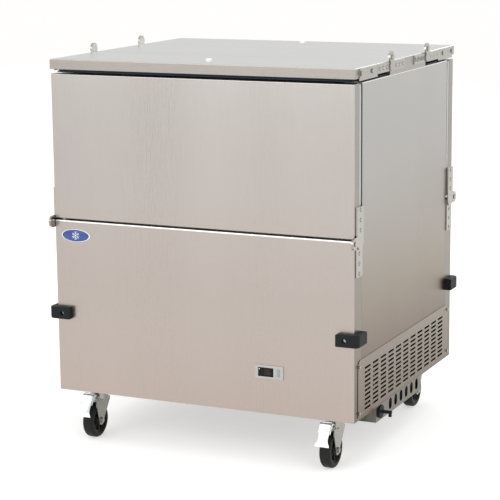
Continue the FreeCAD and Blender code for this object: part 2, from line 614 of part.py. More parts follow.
for axis, count, pitch in (("Y_Axis", "slot_columns", "column_pitch"), ("Z_Axis", "slot_rows", "row_pitch")):
    run = grille_body.newObject("PartDesign::LinearPattern", "run")
    run.Direction = (axes[axis], [""])
    run.setExpression("Length", bound(f"({count} - 1) * {pitch}"))
    run.setExpression("Occurrences", bound(count))
    runs.append(run)
grid.Transformations = runs
grille_body.Tip = grid
doc.recompute()
place(grille_body, (HALF_X, 0, 0))
node("side_grille", grille_body)
for side in BOTH:
    for place_z in ("grille_screw_low", "grille_screw_high"):
        at = (f"{HALF_X} + grille_sheet", f"{side} * grille_screw_half", level(place_z))
        screws.append(rod("x", at, "grille_screw_radius", "screw_head_height"))
node("panel_screws", *screws)

badge = rounded(block(("-(badge_x) - badge_width / 2", "-(badge_x) + badge_width / 2"),
                      span(FRONT, HALF_Y, f"{HALF_Y} + badge_sheet"),
                      (level("badge_level - badge_height / 2"), level("badge_level + badge_height / 2"))),
                "badge_corner", lambda edge: edge.BoundBox.YLength > 1)
node("badge", badge)

# ---- controller --------------------------------------------------------------------------------



def control_part(middle_x, width, near, far, middle_z, height):
    """A block of the controller: near and far are measured outward from the face of the body."""
    return block((f"{middle_x} - ({width}) / 2", f"{middle_x} + ({width}) / 2"),
                 span(FRONT, f"{HALF_Y} + {near}", f"{HALF_Y} + {far}"),
                 (level(f"{middle_z} - ({height}) / 2"), level(f"{middle_z} + ({height}) / 2")))


def bezel_edge(edge):
    on_face = abs(edge.BoundBox.Center.y + size(f"{HALF_Y} + control_proud")) < 0.01
    return on_face or edge.BoundBox.YLength > 1


bezel = rounded(control_part("control_x", "control_width", "0", "control_proud", "control_level",
                             "control_height"), "bend_radius", bezel_edge)
case = control_part("control_x", "control_body_width", "-control_body_depth", "0", "control_level",
                    "control_body_height")
window = ("control_x - window_shift", "window_width", "control_proud - window_sink")
pane = control_part(*window, "control_proud - fit_gap", "control_level", "window_height")
recess = control_part(*window, "control_proud + 1", "control_level", "window_height")
buttons, holes = {}, []
for name, way in (("up", 1), ("down", -1)):
    x, z = "control_x + button_shift", f"control_level + {way} * button_pitch / 2"
    room = "button_size + 2 * fit_gap"
    buttons[name] = control_part(x, "button_size", "0.2", "control_proud + button_proud", z, "button_size")
    holes.append(control_part(x, room, "-button_travel", "control_proud + 1", z, room))
node("controller_bezel", cut(fuse(bezel, case), recess, *holes))
node("controller_window", pane)
node("up_button", buttons["up"])
node("down_button", buttons["down"])

# ---- condensing unit ---------------------------------------------------------------------------

TRAY_LOW = level("-tray_depth")
tray_x, tray_y = ("tray_left", "tray_face"), ("-tray_front", "tray_rear")
tray = cut(block(tray_x, tray_y, (TRAY_LOW, level("sheet_metal"))),
           block(("tray_left + sheet_metal", "tray_face - sheet_metal"),
                 ("-tray_front + sheet_metal", "tray_rear - sheet_metal"),
                 (f"{TRAY_LOW} + sheet_metal", level("sheet_metal + 1"))))
ovals = []
for i in range(SIZES["oval_count"]):
    y, z = f"-oval_first + {i} * oval_pitch", level("-oval_level")
    x, straight = ("tray_face - 2 * sheet_metal", "tray_face + sheet_metal"), "(oval_height - oval_width) / 2"
    ends = [rod("x", (x[0], y, f"{z} + {way} * {straight}"), "oval_width / 2", "3 * sheet_metal")
            for way in BOTH]
    ovals.append(fuse(*ends, block(x, (f"{y} - oval_width / 2", f"{y} + oval_width / 2"),
                                   (f"{z} - {straight}", f"{z} + {straight}"))))
hung = [tray]
for flange_y in (("-tray_front - tray_flange", "-tray_front"), ("tray_rear", "tray_rear + tray_flange")):
    hung.append(block(tray_x, flange_y, (level(0), level("sheet_metal"))))
node("condenser_pan", cut(fuse(*hung), fuse(*ovals)))

hook_z = level("-hook_level")
disc = rod("x", ("tray_face", "-hook_place", hook_z), "hook_disc_radius", "hook_disc")
stem = rod("x", ("tray_face + hook_disc", "-hook_place", hook_z), "hook_stem_radius",
           "hook_reach - hook_disc")
tip = rod("z", ("tray_face + hook_reach - hook_stem_radius", "-hook_place", f"{hook_z} - hook_tip"),
          "hook_stem_radius", "hook_tip")
node("cord_hook", fuse(disc, stem, tip))
collar = rod("y", ("gland_x", HALF_Y, level("gland_level")), "gland_collar", "gland_proud")
neck = rod("y", ("gland_x", f"{HALF_Y} - gland_inside", level("gland_level")), "gland_neck", "gland_inside")
bore = rod("y", ("gland_x", f"{HALF_Y} - gland_inside - 1", level("gland_level")), "gland_bore",
           "gland_inside + gland_proud + 2")
node("cord_gland", cut(fuse(collar, neck), bore))

coil_right = "tray_face - coil_gap"
coil_x = (f"{coil_right} - coil_depth", coil_right)
coil_z = (f"{TRAY_LOW} + sheet_metal", f"{TRAY_LOW} + sheet_metal + coil_height")
node("condenser_coil", block(coil_x, ("-tray_front + coil_front_gap", "tray_rear - coil_rear_gap"), coil_z))
FAN_Y, FAN_Z = "-fan_place", level("fan_level")
shroud_x = (f"{coil_right} - coil_depth - shroud_depth", f"{coil_right} - coil_depth")
opening = rod("x", (f"{shroud_x[0]} - 1", FAN_Y, FAN_Z), "fan_radius + shroud_clearance", "shroud_depth + 2")
shroud = cut(block(shroud_x, ("-tray_front + coil_front_gap + shroud_inset",
                              "tray_rear - coil_rear_gap - shroud_inset"),
                   (coil_z[0], f"{coil_z[1]} - fit_gap")), opening)
motor_x = f"{shroud_x[0]} - motor_arm_sheet - motor_length"
motor = rod("x", (motor_x, FAN_Y, FAN_Z), "motor_radius", "motor_length")
shaft = rod("x", (f"{motor_x} + motor_length", FAN_Y, FAN_Z), "shaft_radius", "fan_depth + 2")
reach = "(fan_radius + shroud_clearance + motor_arm / 2)"
arms = [block((f"{shroud_x[0]} - motor_arm_sheet", shroud_x[0]), (f"{FAN_Y} - {reach}", f"{FAN_Y} + {reach}"),
              (f"{FAN_Z} + {way} * motor_arm_half - motor_arm / 2",
               f"{FAN_Z} + {way} * motor_arm_half + motor_arm / 2")) for way in BOTH]
node("condenser_fan_shroud", shroud, fuse(motor, shaft, *arms))


def fan_wheel(x, y, z, radius, depth, blades=5):
    """A hub bored to run on its motor shaft, with pitched blades; all sizes read from the sheet."""
    middle, axis = Vector(size(x), size(y), size(z)), Vector(1, 0, 0)
    reach, thick, edge, sheet_size = size(radius), size(depth), size("blade_edge"), size("blade_sheet")
    hub = Part.makeCylinder(reach / 3, thick, middle, axis)
    limit = Part.makeCylinder(reach, thick - 2 * edge, Vector(edge, 0, 0), axis)
    whole = []
    for i in range(blades):
        blade = Part.makeBox(sheet_size, reach * 0.8, reach, Vector(-sheet_size / 2, -reach * 0.4, reach / 4))
        blade.rotate(Vector(), Vector(0, 0, 1), size("blade_pitch"))
        blade.translate(Vector(thick / 2, 0, 0))
        trimmed = blade.common(limit)
        trimmed.rotate(Vector(), axis, 360 * i / blades)
        trimmed.translate(middle)
        whole.append(trimmed)
    bore = Part.makeCylinder(size("shaft_radius + pin_clearance"), 3 * thick, middle - axis * thick, axis)
    return hub.fuse(whole).cut(bore)


solid("condenser_fan", fan_wheel(f"{shroud_x[0]} + 1", FAN_Y, FAN_Z, "fan_radius", "fan_depth - 2"))

can_z = f"{TRAY_LOW} + sheet_metal + compressor_lift"
can = rounded(rod("z", ("compressor_x", "compressor_y", can_z), "compressor_radius", "compressor_height"),
              "compressor_radius / 2", lambda edge: edge.BoundBox.ZMin > size(can_z) + 1
              and len(edge.Vertexes) == 1)
foot_half = "(compressor_radius - foot_inset)"
foot_low = f"{TRAY_LOW} + sheet_metal + mount_height"
foot_z = (foot_low, f"{foot_low} + compressor_foot")
foot = block((f"compressor_x - {foot_half}", f"compressor_x + {foot_half}"),
             ("compressor_y - compressor_radius", "compressor_y + compressor_radius"), foot_z)
mount_half = "(compressor_radius - mount_from_rim)"
feet = [rod("z", (f"compressor_x + {a} * {mount_half}", f"compressor_y + {b} * {mount_half}",
                  f"{TRAY_LOW} + sheet_metal"), "mount_radius", "mount_height") for a in BOTH for b in BOTH]
node("compressor", fuse(can, foot, *feet))


def pipe(points):
    """A tube of straight runs joined by tangent arcs through the given corners."""
    radius = size("pipe_radius")
    corners = [Vector(*[size(c) for c in p]) for p in points]
    edges, here = [], corners[0]
    for before, corner, after in zip(corners, corners[1:], corners[2:]):
        back, on = (before - corner).normalize(), (after - corner).normalize()
        bend = 4 * radius
        start, stop = corner + back * bend, corner + on * bend
        inward = (back + on).normalize()
        top = corner + inward * (bend * (2 ** 0.5 - 1))
        edges.append(Part.LineSegment(here, start).toShape())
        edges.append(Part.Arc(start, top, stop).toShape())
        here = stop
    edges.append(Part.LineSegment(here, corners[-1]).toShape())
    path = Part.Wire(edges)
    mouth = Part.Wire([Part.Circle(corners[0], corners[1] - corners[0], radius).toShape()])
    return path.makePipeShell([mouth], True, False)


pipe_top, pipe_y = level("machine_height - pipe_drop"), "tray_rear - pipe_from_rear"
port_x, port_z = "compressor_x - compressor_radius", f"{can_z} + pipe_port"
coil_middle = f"{coil_right} - coil_depth / 2"
riser_x = f"{port_x} - pipe_out"
discharge = pipe([(f"{port_x} - fit_gap", "compressor_y", port_z), (riser_x, "compressor_y", port_z),
                  (riser_x, "compressor_y", pipe_top), (riser_x, pipe_y, pipe_top),
                  (coil_middle, pipe_y, pipe_top), (coil_middle, pipe_y, coil_z[1])])
solid("refrigerant_lines", discharge)

# ---- inside the well ---------------------------------------------------------------------------

wall_face, cover_in = f"-{WELL_X}", f"-{WELL_X} + cover_depth"
evap_z = (level("evaporator_low"), level("evaporator_high"))
evap_mid = level("(evaporator_low + evaporator_high) / 2")
cover_half, metal = "(evaporator_half + cover_margin)", "sheet_metal"
hood = block((wall_face, cover_in), (f"-{cover_half}", cover_half),
             (f"{evap_z[0]} - cover_lip", f"{evap_z[1]} + cover_lip"))
hollow = block((f"{wall_face} - 1", f"{cover_in} - {metal}"),
               (f"-{cover_half} + {metal}", f"{cover_half} - {metal}"),
               (f"{evap_z[0]} - cover_lip + {metal}", f"{evap_z[1]} + cover_lip + 1"))
mouth = rod("x", (f"{cover_in} - 2 * {metal}", 0, evap_mid), "evaporator_fan_radius + shroud_clearance",
            f"3 * {metal}")
node("evaporator_cover", cut(hood, hollow, mouth))
coil_in = f"{wall_face} + evaporator_depth - cover_margin"
evap_motor = rod("x", (coil_in, 0, evap_mid), "evaporator_motor_radius", "evaporator_motor_length")
motor_end = f"{coil_in} + evaporator_motor_length"
evap_shaft = rod("x", (motor_end, 0, evap_mid), "shaft_radius", "evaporator_fan_depth - 2")
node("evaporator_coil", block((wall_face, coil_in), ("-evaporator_half", "evaporator_half"), evap_z),
     fuse(evap_motor, evap_shaft))
solid("evaporator_fan", fan_wheel(f"{motor_end} + 1", "0", evap_mid, "evaporator_fan_radius",
                                  "evaporator_fan_depth"))

bars = []
rack_reach_x, rack_reach_y = f"{WELL_X} - rack_gap", f"{WELL_Y} - rack_gap"
for i in range(SIZES["rack_bars"]):
    y = f"(-1 + {2 * i} / (rack_bars - 1)) * ({rack_reach_y} - rack_bar / 2)"
    bars.append(block((f"-({rack_reach_x})", rack_reach_x), (f"{y} - rack_bar / 2", f"{y} + rack_bar / 2"),
                      (f"{FLOOR_TOP} + rack_height / 2", f"{FLOOR_TOP} + rack_height")))
for share in (-1, 0, 1):
    x = f"{share} * rack_side_bar * ({rack_reach_x})"
    bars.append(block((f"{x} - rack_bar / 2", f"{x} + rack_bar / 2"), (f"-({rack_reach_y})", rack_reach_y),
                      (FLOOR_TOP, f"{FLOOR_TOP} + rack_height / 2")))
node("floor_racks", *bars)

# ---- casters -----------------------------------------------------------------------------------

HUB_HALF = "(wheel_width / 2 + fork_gap)"
FORK_HALF = f"({HUB_HALF} + fork_sheet)"
AXLE_Z = "wheel_radius"
CROWN = "(2 * wheel_radius + crown_clear)"
CROWN_TOP = f"({CROWN} + crown_sheet)"
RACE_LOW = f"({CROWN_TOP} + fit_gap)"
PLATE_LOW = f"({level(0)} - top_plate)"
PEDAL_Z = f"({CROWN_TOP} + pedal_pivot_up)"


def wheel(x, axle_y):
    """Hub, rim and tyre turned in one about the axle, with the same section on both faces."""
    face, rim = "wheel_width / 2", "wheel_radius - tyre_depth"
    half = [(f"{HUB_HALF} - fit_gap", "axle_radius + pin_clearance"), (f"{HUB_HALF} - fit_gap", "hub_radius"),
            (f"{face} - tread_step", "hub_radius"), (f"{face} - tread_step", rim), (face, f"{rim} + rim_lip"),
            (face, "wheel_radius - tyre_shoulder"), (f"{face} - tyre_corner", "wheel_radius")]
    return turned(half + [(f"-({along})", radius) for along, radius in reversed(half)], (x, axle_y, AXLE_Z))


def fork(x, king_y, axle_y, pedal_y):
    """Two legs under a crown plate with the axle and its caps; a braked fork has ears and a pedal pin."""
    leg_outline = [("-trail - leg_half", AXLE_Z), ("-trail + leg_half", AXLE_Z), ("leg_front", CROWN),
                   ("leg_front", CROWN_TOP), ("-trail - leg_front", CROWN_TOP),
                   ("-trail - leg_front", f"{CROWN} - leg_drop")]
    pieces = [block((f"{x} - {FORK_HALF}", f"{x} + {FORK_HALF}"),
                    (f"{axle_y} - crown_rear", f"{king_y} + leg_front"), (CROWN, CROWN_TOP)),
              rod("x", (f"{x} - {FORK_HALF} - axle_end", axle_y, AXLE_Z), "axle_radius",
                  f"2 * ({FORK_HALF} + axle_end)")]
    for way in BOTH:
        inner = f"{x} + {span(way, HUB_HALF, FORK_HALF)[0]}"
        cap = f"{x} + {span(way, FORK_HALF, f'{FORK_HALF} + axle_cap_height')[0]}"
        pieces.append(plate("YZ_Plane", [leg_outline], "fork_sheet", (inner, king_y, 0)))
        pieces.append(rod("x", (inner, axle_y, AXLE_Z), "leg_half", "fork_sheet"))
        pieces.append(rod("x", (cap, axle_y, AXLE_Z), "axle_radius + axle_cap_rim", "axle_cap_height"))
        if pedal_y:
            pieces.append(rod("x", (inner, pedal_y, PEDAL_Z), "pedal_ear_radius", "fork_sheet"))
    if pedal_y:
        pieces.append(rod("x", (f"{x} - {FORK_HALF} - pedal_pin_end", pedal_y, PEDAL_Z), "pedal_pin_radius",
                          f"2 * ({FORK_HALF} + pedal_pin_end)"))
    bore = rod("z", (x, king_y, f"{CROWN} - 1"), "kingpin_radius + pin_clearance", "crown_sheet + 2")
    return cut(fuse(*pieces), bore)


def mount(x, king_y):
    """What is bolted under the body: plate, ball race, and the kingpin with its head below the crown."""
    pieces = [block((f"{x} - top_plate_x / 2", f"{x} + top_plate_x / 2"),
                    (f"{king_y} - top_plate_y / 2", f"{king_y} + top_plate_y / 2"), (PLATE_LOW, level(0))),
              rod("z", (x, king_y, RACE_LOW), "race_radius", f"{PLATE_LOW} - {RACE_LOW}"),
              rod("z", (x, king_y, f"{CROWN} - kingpin_under"), "kingpin_radius",
                  f"{PLATE_LOW} - {CROWN} + kingpin_under"),
              rod("z", (x, king_y, f"{CROWN} - fit_gap - kingpin_head_height"), "kingpin_head",
                  "kingpin_head_height")]
    for a in BOTH:
        for b in BOTH:
            bolt_at = (f"{x} + {a} * (top_plate_x / 2 - plate_bolt_inset)",
                       f"{king_y} + {b} * (top_plate_y / 2 - plate_bolt_inset)",
                       f"{PLATE_LOW} - plate_bolt_height")
            pieces.append(rod("z", bolt_at, "plate_bolt_radius", "plate_bolt_height"))
    return fuse(*pieces)


# outlines of the brake pedal seen from the side, from its pivot: forward is negative, up positive
CHEEK = [(7, -3), (8, 7), (-12, 18), (-20, 14), (-46, -34), (-43.5, -36), (-20, 4), (-8, -4.5)]
TREAD = [(-12, 17.5), (-14.5, 20.5), (-22, 16.5), (-50, -36), (-46, -38.5), (-44, -35), (-20, 13)]
TREAD_TIP = [(-40.5, -20), (-50, -36), (-46, -38.5), (-37.5, -21.5)]


def brake_pedal(x, pedal_y):
    """Two cheeks on the pedal pin, and a tread down in front of the wheel to a wider tip."""
    pieces = []
    for way in BOTH:
        cheek = span(way, f"{HUB_HALF} - fit_gap - cheek_sheet", f"{HUB_HALF} - fit_gap")[0]
        pieces.append(plate("YZ_Plane", [CHEEK], "cheek_sheet", (f"{x} + {cheek}", pedal_y, PEDAL_Z)))
    for outline, width in ((TREAD, "pedal_width"), (TREAD_TIP, "pedal_tip_width")):
        pieces.append(plate("YZ_Plane", [outline], width, (f"{x} - {width} / 2", pedal_y, PEDAL_Z)))
    bore = rod("x", (f"{x} - pedal_tip_width", pedal_y, PEDAL_Z), "pedal_pin_radius + pin_clearance",
               "2 * pedal_tip_width")
    return cut(fuse(*pieces), bore)


mounts = []
for side_name, side in (("left", -1), ("right", 1)):
    for end_name, end in ENDS.items():
        x, king_y = f"({side} * caster_x)", f"({end} * ({HALF_Y} - kingpin_from_end))"
        axle_y = f"({king_y} - trail)"
        pedal_y = f"({axle_y} - pedal_pivot_forward)" if end == FRONT else None
        mounts.append(mount(x, king_y))
        node(f"{end_name}_{side_name}_wheel", wheel(x, axle_y))
        node(f"{end_name}_{side_name}_fork", fork(x, king_y, axle_y, pedal_y))
        if pedal_y:
            node(f"{end_name}_{side_name}_brake_pedal", brake_pedal(x, pedal_y))
node("caster_plates", *mounts)

# ---- check and write ---------------------------------------------------------------------------

doc.recompute()
broken = [f"{thing.Label}: {thing.State}" for thing in doc.Objects
          if {"Invalid", "Error"} & set(thing.State)]
if broken:
    raise RuntimeError(f"objects failed: {broken}")
for label, piece in nodes.items():
    if piece.Shape.isNull() or not piece.Shape.isValid() or not piece.Shape.Solids:
        raise RuntimeError(f"{label} has no valid solid")
os.makedirs("parts", exist_ok=True)
for label, piece in nodes.items():
    piece.Shape.exportStep(f"parts/{label}.step")
    print(label, len(piece.Shape.Solids), "solids", round(piece.Shape.Volume / 1000), "cm3")
print(len(nodes), "sub-parts")
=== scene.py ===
# %% [markdown]
# # A milk crate cooler, finished in Blender
# The cooler is a stainless-steel cabinet on casters, with a drop door and a folding lid at each end.
# Its CAD model comes in as a fixed frame: every sheet, hinge and caster already has its place and size.
# This notebook gives those pieces their finishes, and rebuilds the ones whose shape a solid model
# can't give well: soft seals, rubber, pressed metal and cooling fins.

# %% Load the frame
import json
import math

import bmesh
import bpy
from mathutils import Matrix, Vector


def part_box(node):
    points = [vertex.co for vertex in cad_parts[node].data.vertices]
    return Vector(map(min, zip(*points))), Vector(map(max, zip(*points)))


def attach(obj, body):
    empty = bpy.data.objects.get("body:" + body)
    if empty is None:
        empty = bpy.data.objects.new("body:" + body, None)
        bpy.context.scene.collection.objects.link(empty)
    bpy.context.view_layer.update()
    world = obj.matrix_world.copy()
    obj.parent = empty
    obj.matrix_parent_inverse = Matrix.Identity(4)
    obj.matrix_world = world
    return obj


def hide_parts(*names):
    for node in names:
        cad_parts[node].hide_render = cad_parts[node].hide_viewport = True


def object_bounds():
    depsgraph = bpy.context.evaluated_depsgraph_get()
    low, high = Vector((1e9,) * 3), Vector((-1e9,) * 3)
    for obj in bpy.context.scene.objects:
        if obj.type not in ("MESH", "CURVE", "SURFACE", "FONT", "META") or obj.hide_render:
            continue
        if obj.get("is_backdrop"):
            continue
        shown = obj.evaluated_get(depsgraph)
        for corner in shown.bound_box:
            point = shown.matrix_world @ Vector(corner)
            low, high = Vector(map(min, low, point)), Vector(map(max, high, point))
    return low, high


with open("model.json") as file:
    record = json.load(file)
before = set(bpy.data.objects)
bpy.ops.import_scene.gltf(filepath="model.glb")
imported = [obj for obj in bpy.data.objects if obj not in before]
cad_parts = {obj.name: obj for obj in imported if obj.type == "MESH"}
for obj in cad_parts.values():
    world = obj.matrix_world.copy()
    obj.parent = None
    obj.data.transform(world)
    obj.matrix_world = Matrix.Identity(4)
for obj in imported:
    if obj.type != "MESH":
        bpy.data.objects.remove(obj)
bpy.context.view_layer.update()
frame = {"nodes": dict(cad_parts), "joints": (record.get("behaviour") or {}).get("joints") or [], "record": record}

# %% [markdown]
# ## Camera
# The view is from the right of the front, a little above the lid, through a long lens, so that the
# upright edges stay nearly parallel. A camera's direction is easiest to set from the point that it
# looks at: a quaternion turns its -Z axis that way, and a last small turn about that axis is its roll.

# %% Camera
LOOK_AT = Vector((-0.0313, 0, 0.4853))
AZIMUTH, ELEVATION = math.radians(24.776), math.radians(11.152)
DISTANCE, LENS, ROLL = 4.9652, 127.37, math.radians(0.55)

back = Vector((math.sin(AZIMUTH) * math.cos(ELEVATION), -math.cos(AZIMUTH) * math.cos(ELEVATION),
               math.sin(ELEVATION)))
camera = bpy.data.objects.new("camera", bpy.data.cameras.new("camera"))
camera.data.lens, camera.data.sensor_width = LENS, 36
camera.data.clip_end = 50
camera.rotation_mode = "QUATERNION"
camera.location = LOOK_AT + back * DISTANCE
level_turn = (-back).to_track_quat("-Z", "Y")
camera.rotation_quaternion = level_turn @ Matrix.Rotation(-ROLL, 3, "Z").to_quaternion()
bpy.context.collection.objects.link(camera)
bpy.context.scene.camera = camera
print("camera at", [round(c, 3) for c in camera.location])

# %% [markdown]
# ## Studio
# Steel shows what it reflects, so the studio is mostly large soft sources: a white world, a hair warmer
# at the horizon than overhead, one big key light in front of the cooler, a fill from its right and
# fainter lights above and behind. A small bright lamp would leave a hot spot on every sheet.


# %% Studio
def area_light(name, place, target, width, height, watts, colour):
    """A rectangular soft light at place, turned towards target."""
    lamp_and_glint = bpy.data.lights.new(name, "AREA")
    lamp_and_glint.shape, lamp_and_glint.size, lamp_and_glint.size_y = "RECTANGLE", width, height
    lamp_and_glint.energy, lamp_and_glint.color = watts, colour
    holder = bpy.data.objects.new(name, lamp_and_glint)
    holder.location = place
    holder.rotation_euler = (Vector(target) - Vector(place)).to_track_quat("-Z", "Y").to_euler()
    bpy.context.collection.objects.link(holder)


MIDDLE = (0, 0, 0.55)
area_light("key", (-1.4, -4.2, 2.4), MIDDLE, 2.8, 2.4, 58, (1.0, 0.985, 0.96))
area_light("fill", (3.2, -3.0, 1.6), MIDDLE, 2.2, 2.2, 30, (0.97, 0.99, 1.0))
area_light("top", (0.2, 0.6, 3.6), MIDDLE, 3.2, 3.2, 14, (1, 1, 1))
area_light("behind", (0.8, 3.6, 2.0), MIDDLE, 2.4, 2.0, 30, (1, 1, 1))

world = bpy.data.worlds.new("studio")
world.use_nodes = True
bpy.context.scene.world = world
sky, sky_links = world.node_tree.nodes, world.node_tree.links
direction = sky.new("ShaderNodeTexCoord")
split = sky.new("ShaderNodeSeparateXYZ")
height_ramp = sky.new("ShaderNodeValToRGB")
horizon, overhead = height_ramp.color_ramp.elements
horizon.color = (1.0, 0.995, 0.985, 1)
overhead.position, overhead.color = 0.55, (1.0, 1.0, 1.0, 1)
sky_links.new(direction.outputs["Generated"], split.inputs["Vector"])
sky_links.new(split.outputs["Z"], height_ramp.inputs["Fac"])
sky_links.new(height_ramp.outputs["Color"], sky["Background"].inputs["Color"])
sky["Background"].inputs["Strength"].default_value = 1.0
bpy.context.scene.view_settings.view_transform = "Standard"

# %% [markdown]
# ## Writing materials as sums
# A shader tree is easier to read as arithmetic. `Wire` wraps a number's socket and turns `+ - * /`
# into Math nodes, and `Finish` makes a material and adds any other node in one call: its type, its
# settings, then what goes into its sockets.


# %% Wire and Finish
class Wire:
    """A value on its way through a material: arithmetic on it adds Math nodes."""

    def __init__(self, finish, socket):
        self.finish, self.socket = finish, socket

    def math(self, operation, *values):
        return self.finish.node("Math", {"operation": operation}, *values)

    def __add__(self, other):
        return self.math("ADD", self, other)

    def __sub__(self, other):
        return self.math("SUBTRACT", self, other)

    def __mul__(self, other):
        return self.math("MULTIPLY", self, other)

    def __truediv__(self, other):
        return self.math("DIVIDE", self, other)

    def __rsub__(self, other):
        return self.math("SUBTRACT", other, self)

    def __rtruediv__(self, other):
        return self.math("DIVIDE", other, self)

    def above(self, limit):
        return self.math("GREATER_THAN", self, limit)

    def size(self):
        return self.math("ABSOLUTE", self)

    __radd__, __rmul__ = __add__, __mul__


class Finish:
    """A material with one Principled shader, and short ways to add what feeds it."""

    def __init__(self, name, **constants):
        self.material = bpy.data.materials.new(name)
        self.material.use_nodes = True
        self.tree = self.material.node_tree
        self.shader = self.tree.nodes["Principled BSDF"]
        for socket, value in constants.items():
            self.shader.inputs[socket.capitalize()].default_value = value
        self.place = self.node("TexCoord", {}, out="Object")

    def node(self, kind, settings, *values, out=0, **named):
        """Adds a ShaderNode of that kind; values fill its sockets in order, and named ones by name."""
        made = self.tree.nodes.new("ShaderNode" + kind)
        for setting, value in settings.items():
            if setting == "stops":
                ramp = made.color_ramp
                while len(ramp.elements) < len(value):
                    ramp.elements.new(0.5)
                for element, (position, colour) in zip(ramp.elements, value):
                    element.position, element.color = position, (*colour, 1)
            else:
                setattr(made, setting, value)
        for key, value in [*enumerate(values), *named.items()]:
            self.fill(made.inputs[key], value)
        return Wire(self, made.outputs[out])

    def fill(self, socket, value):
        """Links a Wire to a socket, or sets the socket to a plain value."""
        if isinstance(value, Wire):
            self.tree.links.new(value.socket, socket)
        else:
            socket.default_value = value

    def stretched(self, scale):
        """The place on the surface with each axis scaled, for a pattern that runs along one of them."""
        return self.node("Mapping", {}, Vector=self.place, Scale=scale)

    def axes(self):
        """The three object coordinates, each as a number."""
        split = self.node("SeparateXYZ", {}, self.place)
        return [Wire(self, split.socket.node.outputs[i]) for i in range(3)]

    def noise(self, scale, detail=3.0, roughness=0.55, where=None):
        return self.node("TexNoise", {}, out="Fac", Vector=where or self.place, Scale=scale, Detail=detail,
                         Roughness=roughness)

    def between(self, low, high, amount):
        """A colour from low to high as amount goes from 0 to 1."""
        return self.node("ValToRGB", {"stops": [(0.0, low), (1.0, high)]}, amount)

    def mix(self, first, second, amount):
        """Two colours blended by amount; a colour Mix node has its own pair of sockets and its own output."""
        made = self.node("Mix", {"data_type": "RGBA"}, out=2, Factor=amount)
        for socket, value in zip(made.socket.node.inputs[6:8], (first, second)):
            self.fill(socket, value)
        return made

    def scaled(self, colour, amount):
        """A colour times a number."""
        return self.node("VectorMath", {"operation": "SCALE"}, Vector=colour, Scale=amount)

    def bump(self, height, distance):
        return self.node("Bump", {}, Height=height, Distance=distance)

    def set(self, **sockets):
        """Feeds the shader: Base_Color=..., Roughness=..., Normal=..."""
        for name, value in sockets.items():
            self.fill(self.shader.inputs[name.replace("_", " ")], value)
        return self.material


print("helpers ready")

# %% [markdown]
# ## Brushed stainless steel
# The sheets are a fine-brushed stainless steel with a warm cast. Up close it has three layers: hair-thin
# brush lines, small soft mottles where the abrasive bit unevenly, and wide upright bands where one
# stroke of the brush overlapped the next. A noise stretched along the grain gives each of them. The
# brush lines go into a bump and the roughness, and the others only shift the colour by a few percent,
# because a strong colour pattern would look like dirt. One function makes every sheet's steel, with its
# own painted tints from foot to top: they paint the floor's reflection, so a sheet's foot is warmer and
# darker. Past a fold, what lies there takes a painted highlight or painted shade of its own.


# %% Brushed steel
ACROSS_GRAIN, ALONG_GRAIN, BAND_ACROSS, BAND_ALONG = 700, 10, 4.5, 0.4
MOTTLES, SWAY, BRUSH_DEPTH = 220, 0.12, 0.00003


def brushed_steel(name, tints, grain="z", roughness=0.3, brush=1.0, folds=(), patchy=0.05):
    """Stainless steel brushed along one axis. Tints are a painted floor reflection, given as (height above
    the floor, colour) from the foot up. Each fold is (axis, distance from the middle, its own tints), and paints a
    highlight or shade on what lies past it."""
    steel = Finish(name, metallic=1.0)
    lines = steel.noise(1.0, detail=4, roughness=0.7, where=steel.stretched(
        [ALONG_GRAIN if axis == grain else ACROSS_GRAIN for axis in "xyz"]))
    mottles = steel.noise(MOTTLES, detail=2, roughness=0.6)
    bands = steel.noise(1.0, detail=1.5, roughness=0.5, where=steel.stretched(
        [BAND_ALONG if axis == grain else BAND_ACROSS for axis in "xyz"]))
    axes = dict(zip("xyz", steel.axes()))

    def painted_by_height(heights):
        foot, top = heights[0][0], heights[-1][0]
        share = (axes["z"] - foot) / (top - foot) + (bands - 0.5) * SWAY
        stops = [((z - foot) / (top - foot), colour) for z, colour in heights]
        return steel.node("ValToRGB", {"stops": stops}, share)

    painted_tint = painted_by_height(tints)
    for axis, past, fold_painted_tints in folds:
        painted_tint = steel.mix(painted_tint, painted_by_height(fold_painted_tints), axes[axis].size().above(past))
    light = (lines - 0.5) * 0.16 * brush + (mottles - 0.5) * 0.14 * brush + (bands - 0.5) * 2 * patchy + 1.0
    steel.set(Base_Color=steel.scaled(painted_tint, light),
              Roughness=(lines - 0.5) * 0.12 + (bands - 0.5) * 0.1 + roughness,
              Normal=steel.bump(lines + mottles * 0.6, BRUSH_DEPTH * brush))
    return steel.material


def one_tint(*colour):
    """The same colour at every height."""
    return [(0.0, colour), (1.0, colour)]


print("steel is brushed in", round(BRUSH_DEPTH * 1e6), "micrometre lines")

# %% [markdown]
# ## A steel for each sheet
# The front, the sides, the lids and the grille face different ways, so each takes a steel of its own,
# with painted reflection tints for the way it faces. A lid's flat top and the bend along a sill or a
# side's top edge carry a painted highlight, brighter than the sheet below them, and the narrow end of a
# front sheet carries painted shade, darker. One steel with more noise would be less work, but the sheets
# would then all look alike. Heights and bends come from the frame's own boxes.

# %% Stainless sheets
body_low, body_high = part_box("side_panel_right")
lid_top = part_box("front_lid_skin")[1].z
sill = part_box("lower_front_panel")[1].z
HEM, BEND, LID_SHEET = 0.0001, 0.0042, 0.001
# Painted floor reflection: these tints, like the height tints of the grille, liner and hinge steels below, go
# darker towards the foot.
FRONT_PAINTED_REFLECTION = [(body_low.z, (0.437, 0.372, 0.334)), (0.45, (0.412, 0.364, 0.335)),
         (body_high.z, (0.447, 0.422, 0.402))]
SIDE_PAINTED_REFLECTION = [(0.25, (0.125, 0.085, 0.06)), (0.44, (0.235, 0.194, 0.145)), (0.60, (0.292, 0.266, 0.234)),
        (0.78, (0.375, 0.357, 0.335)), (body_high.z, (0.416, 0.413, 0.398))]
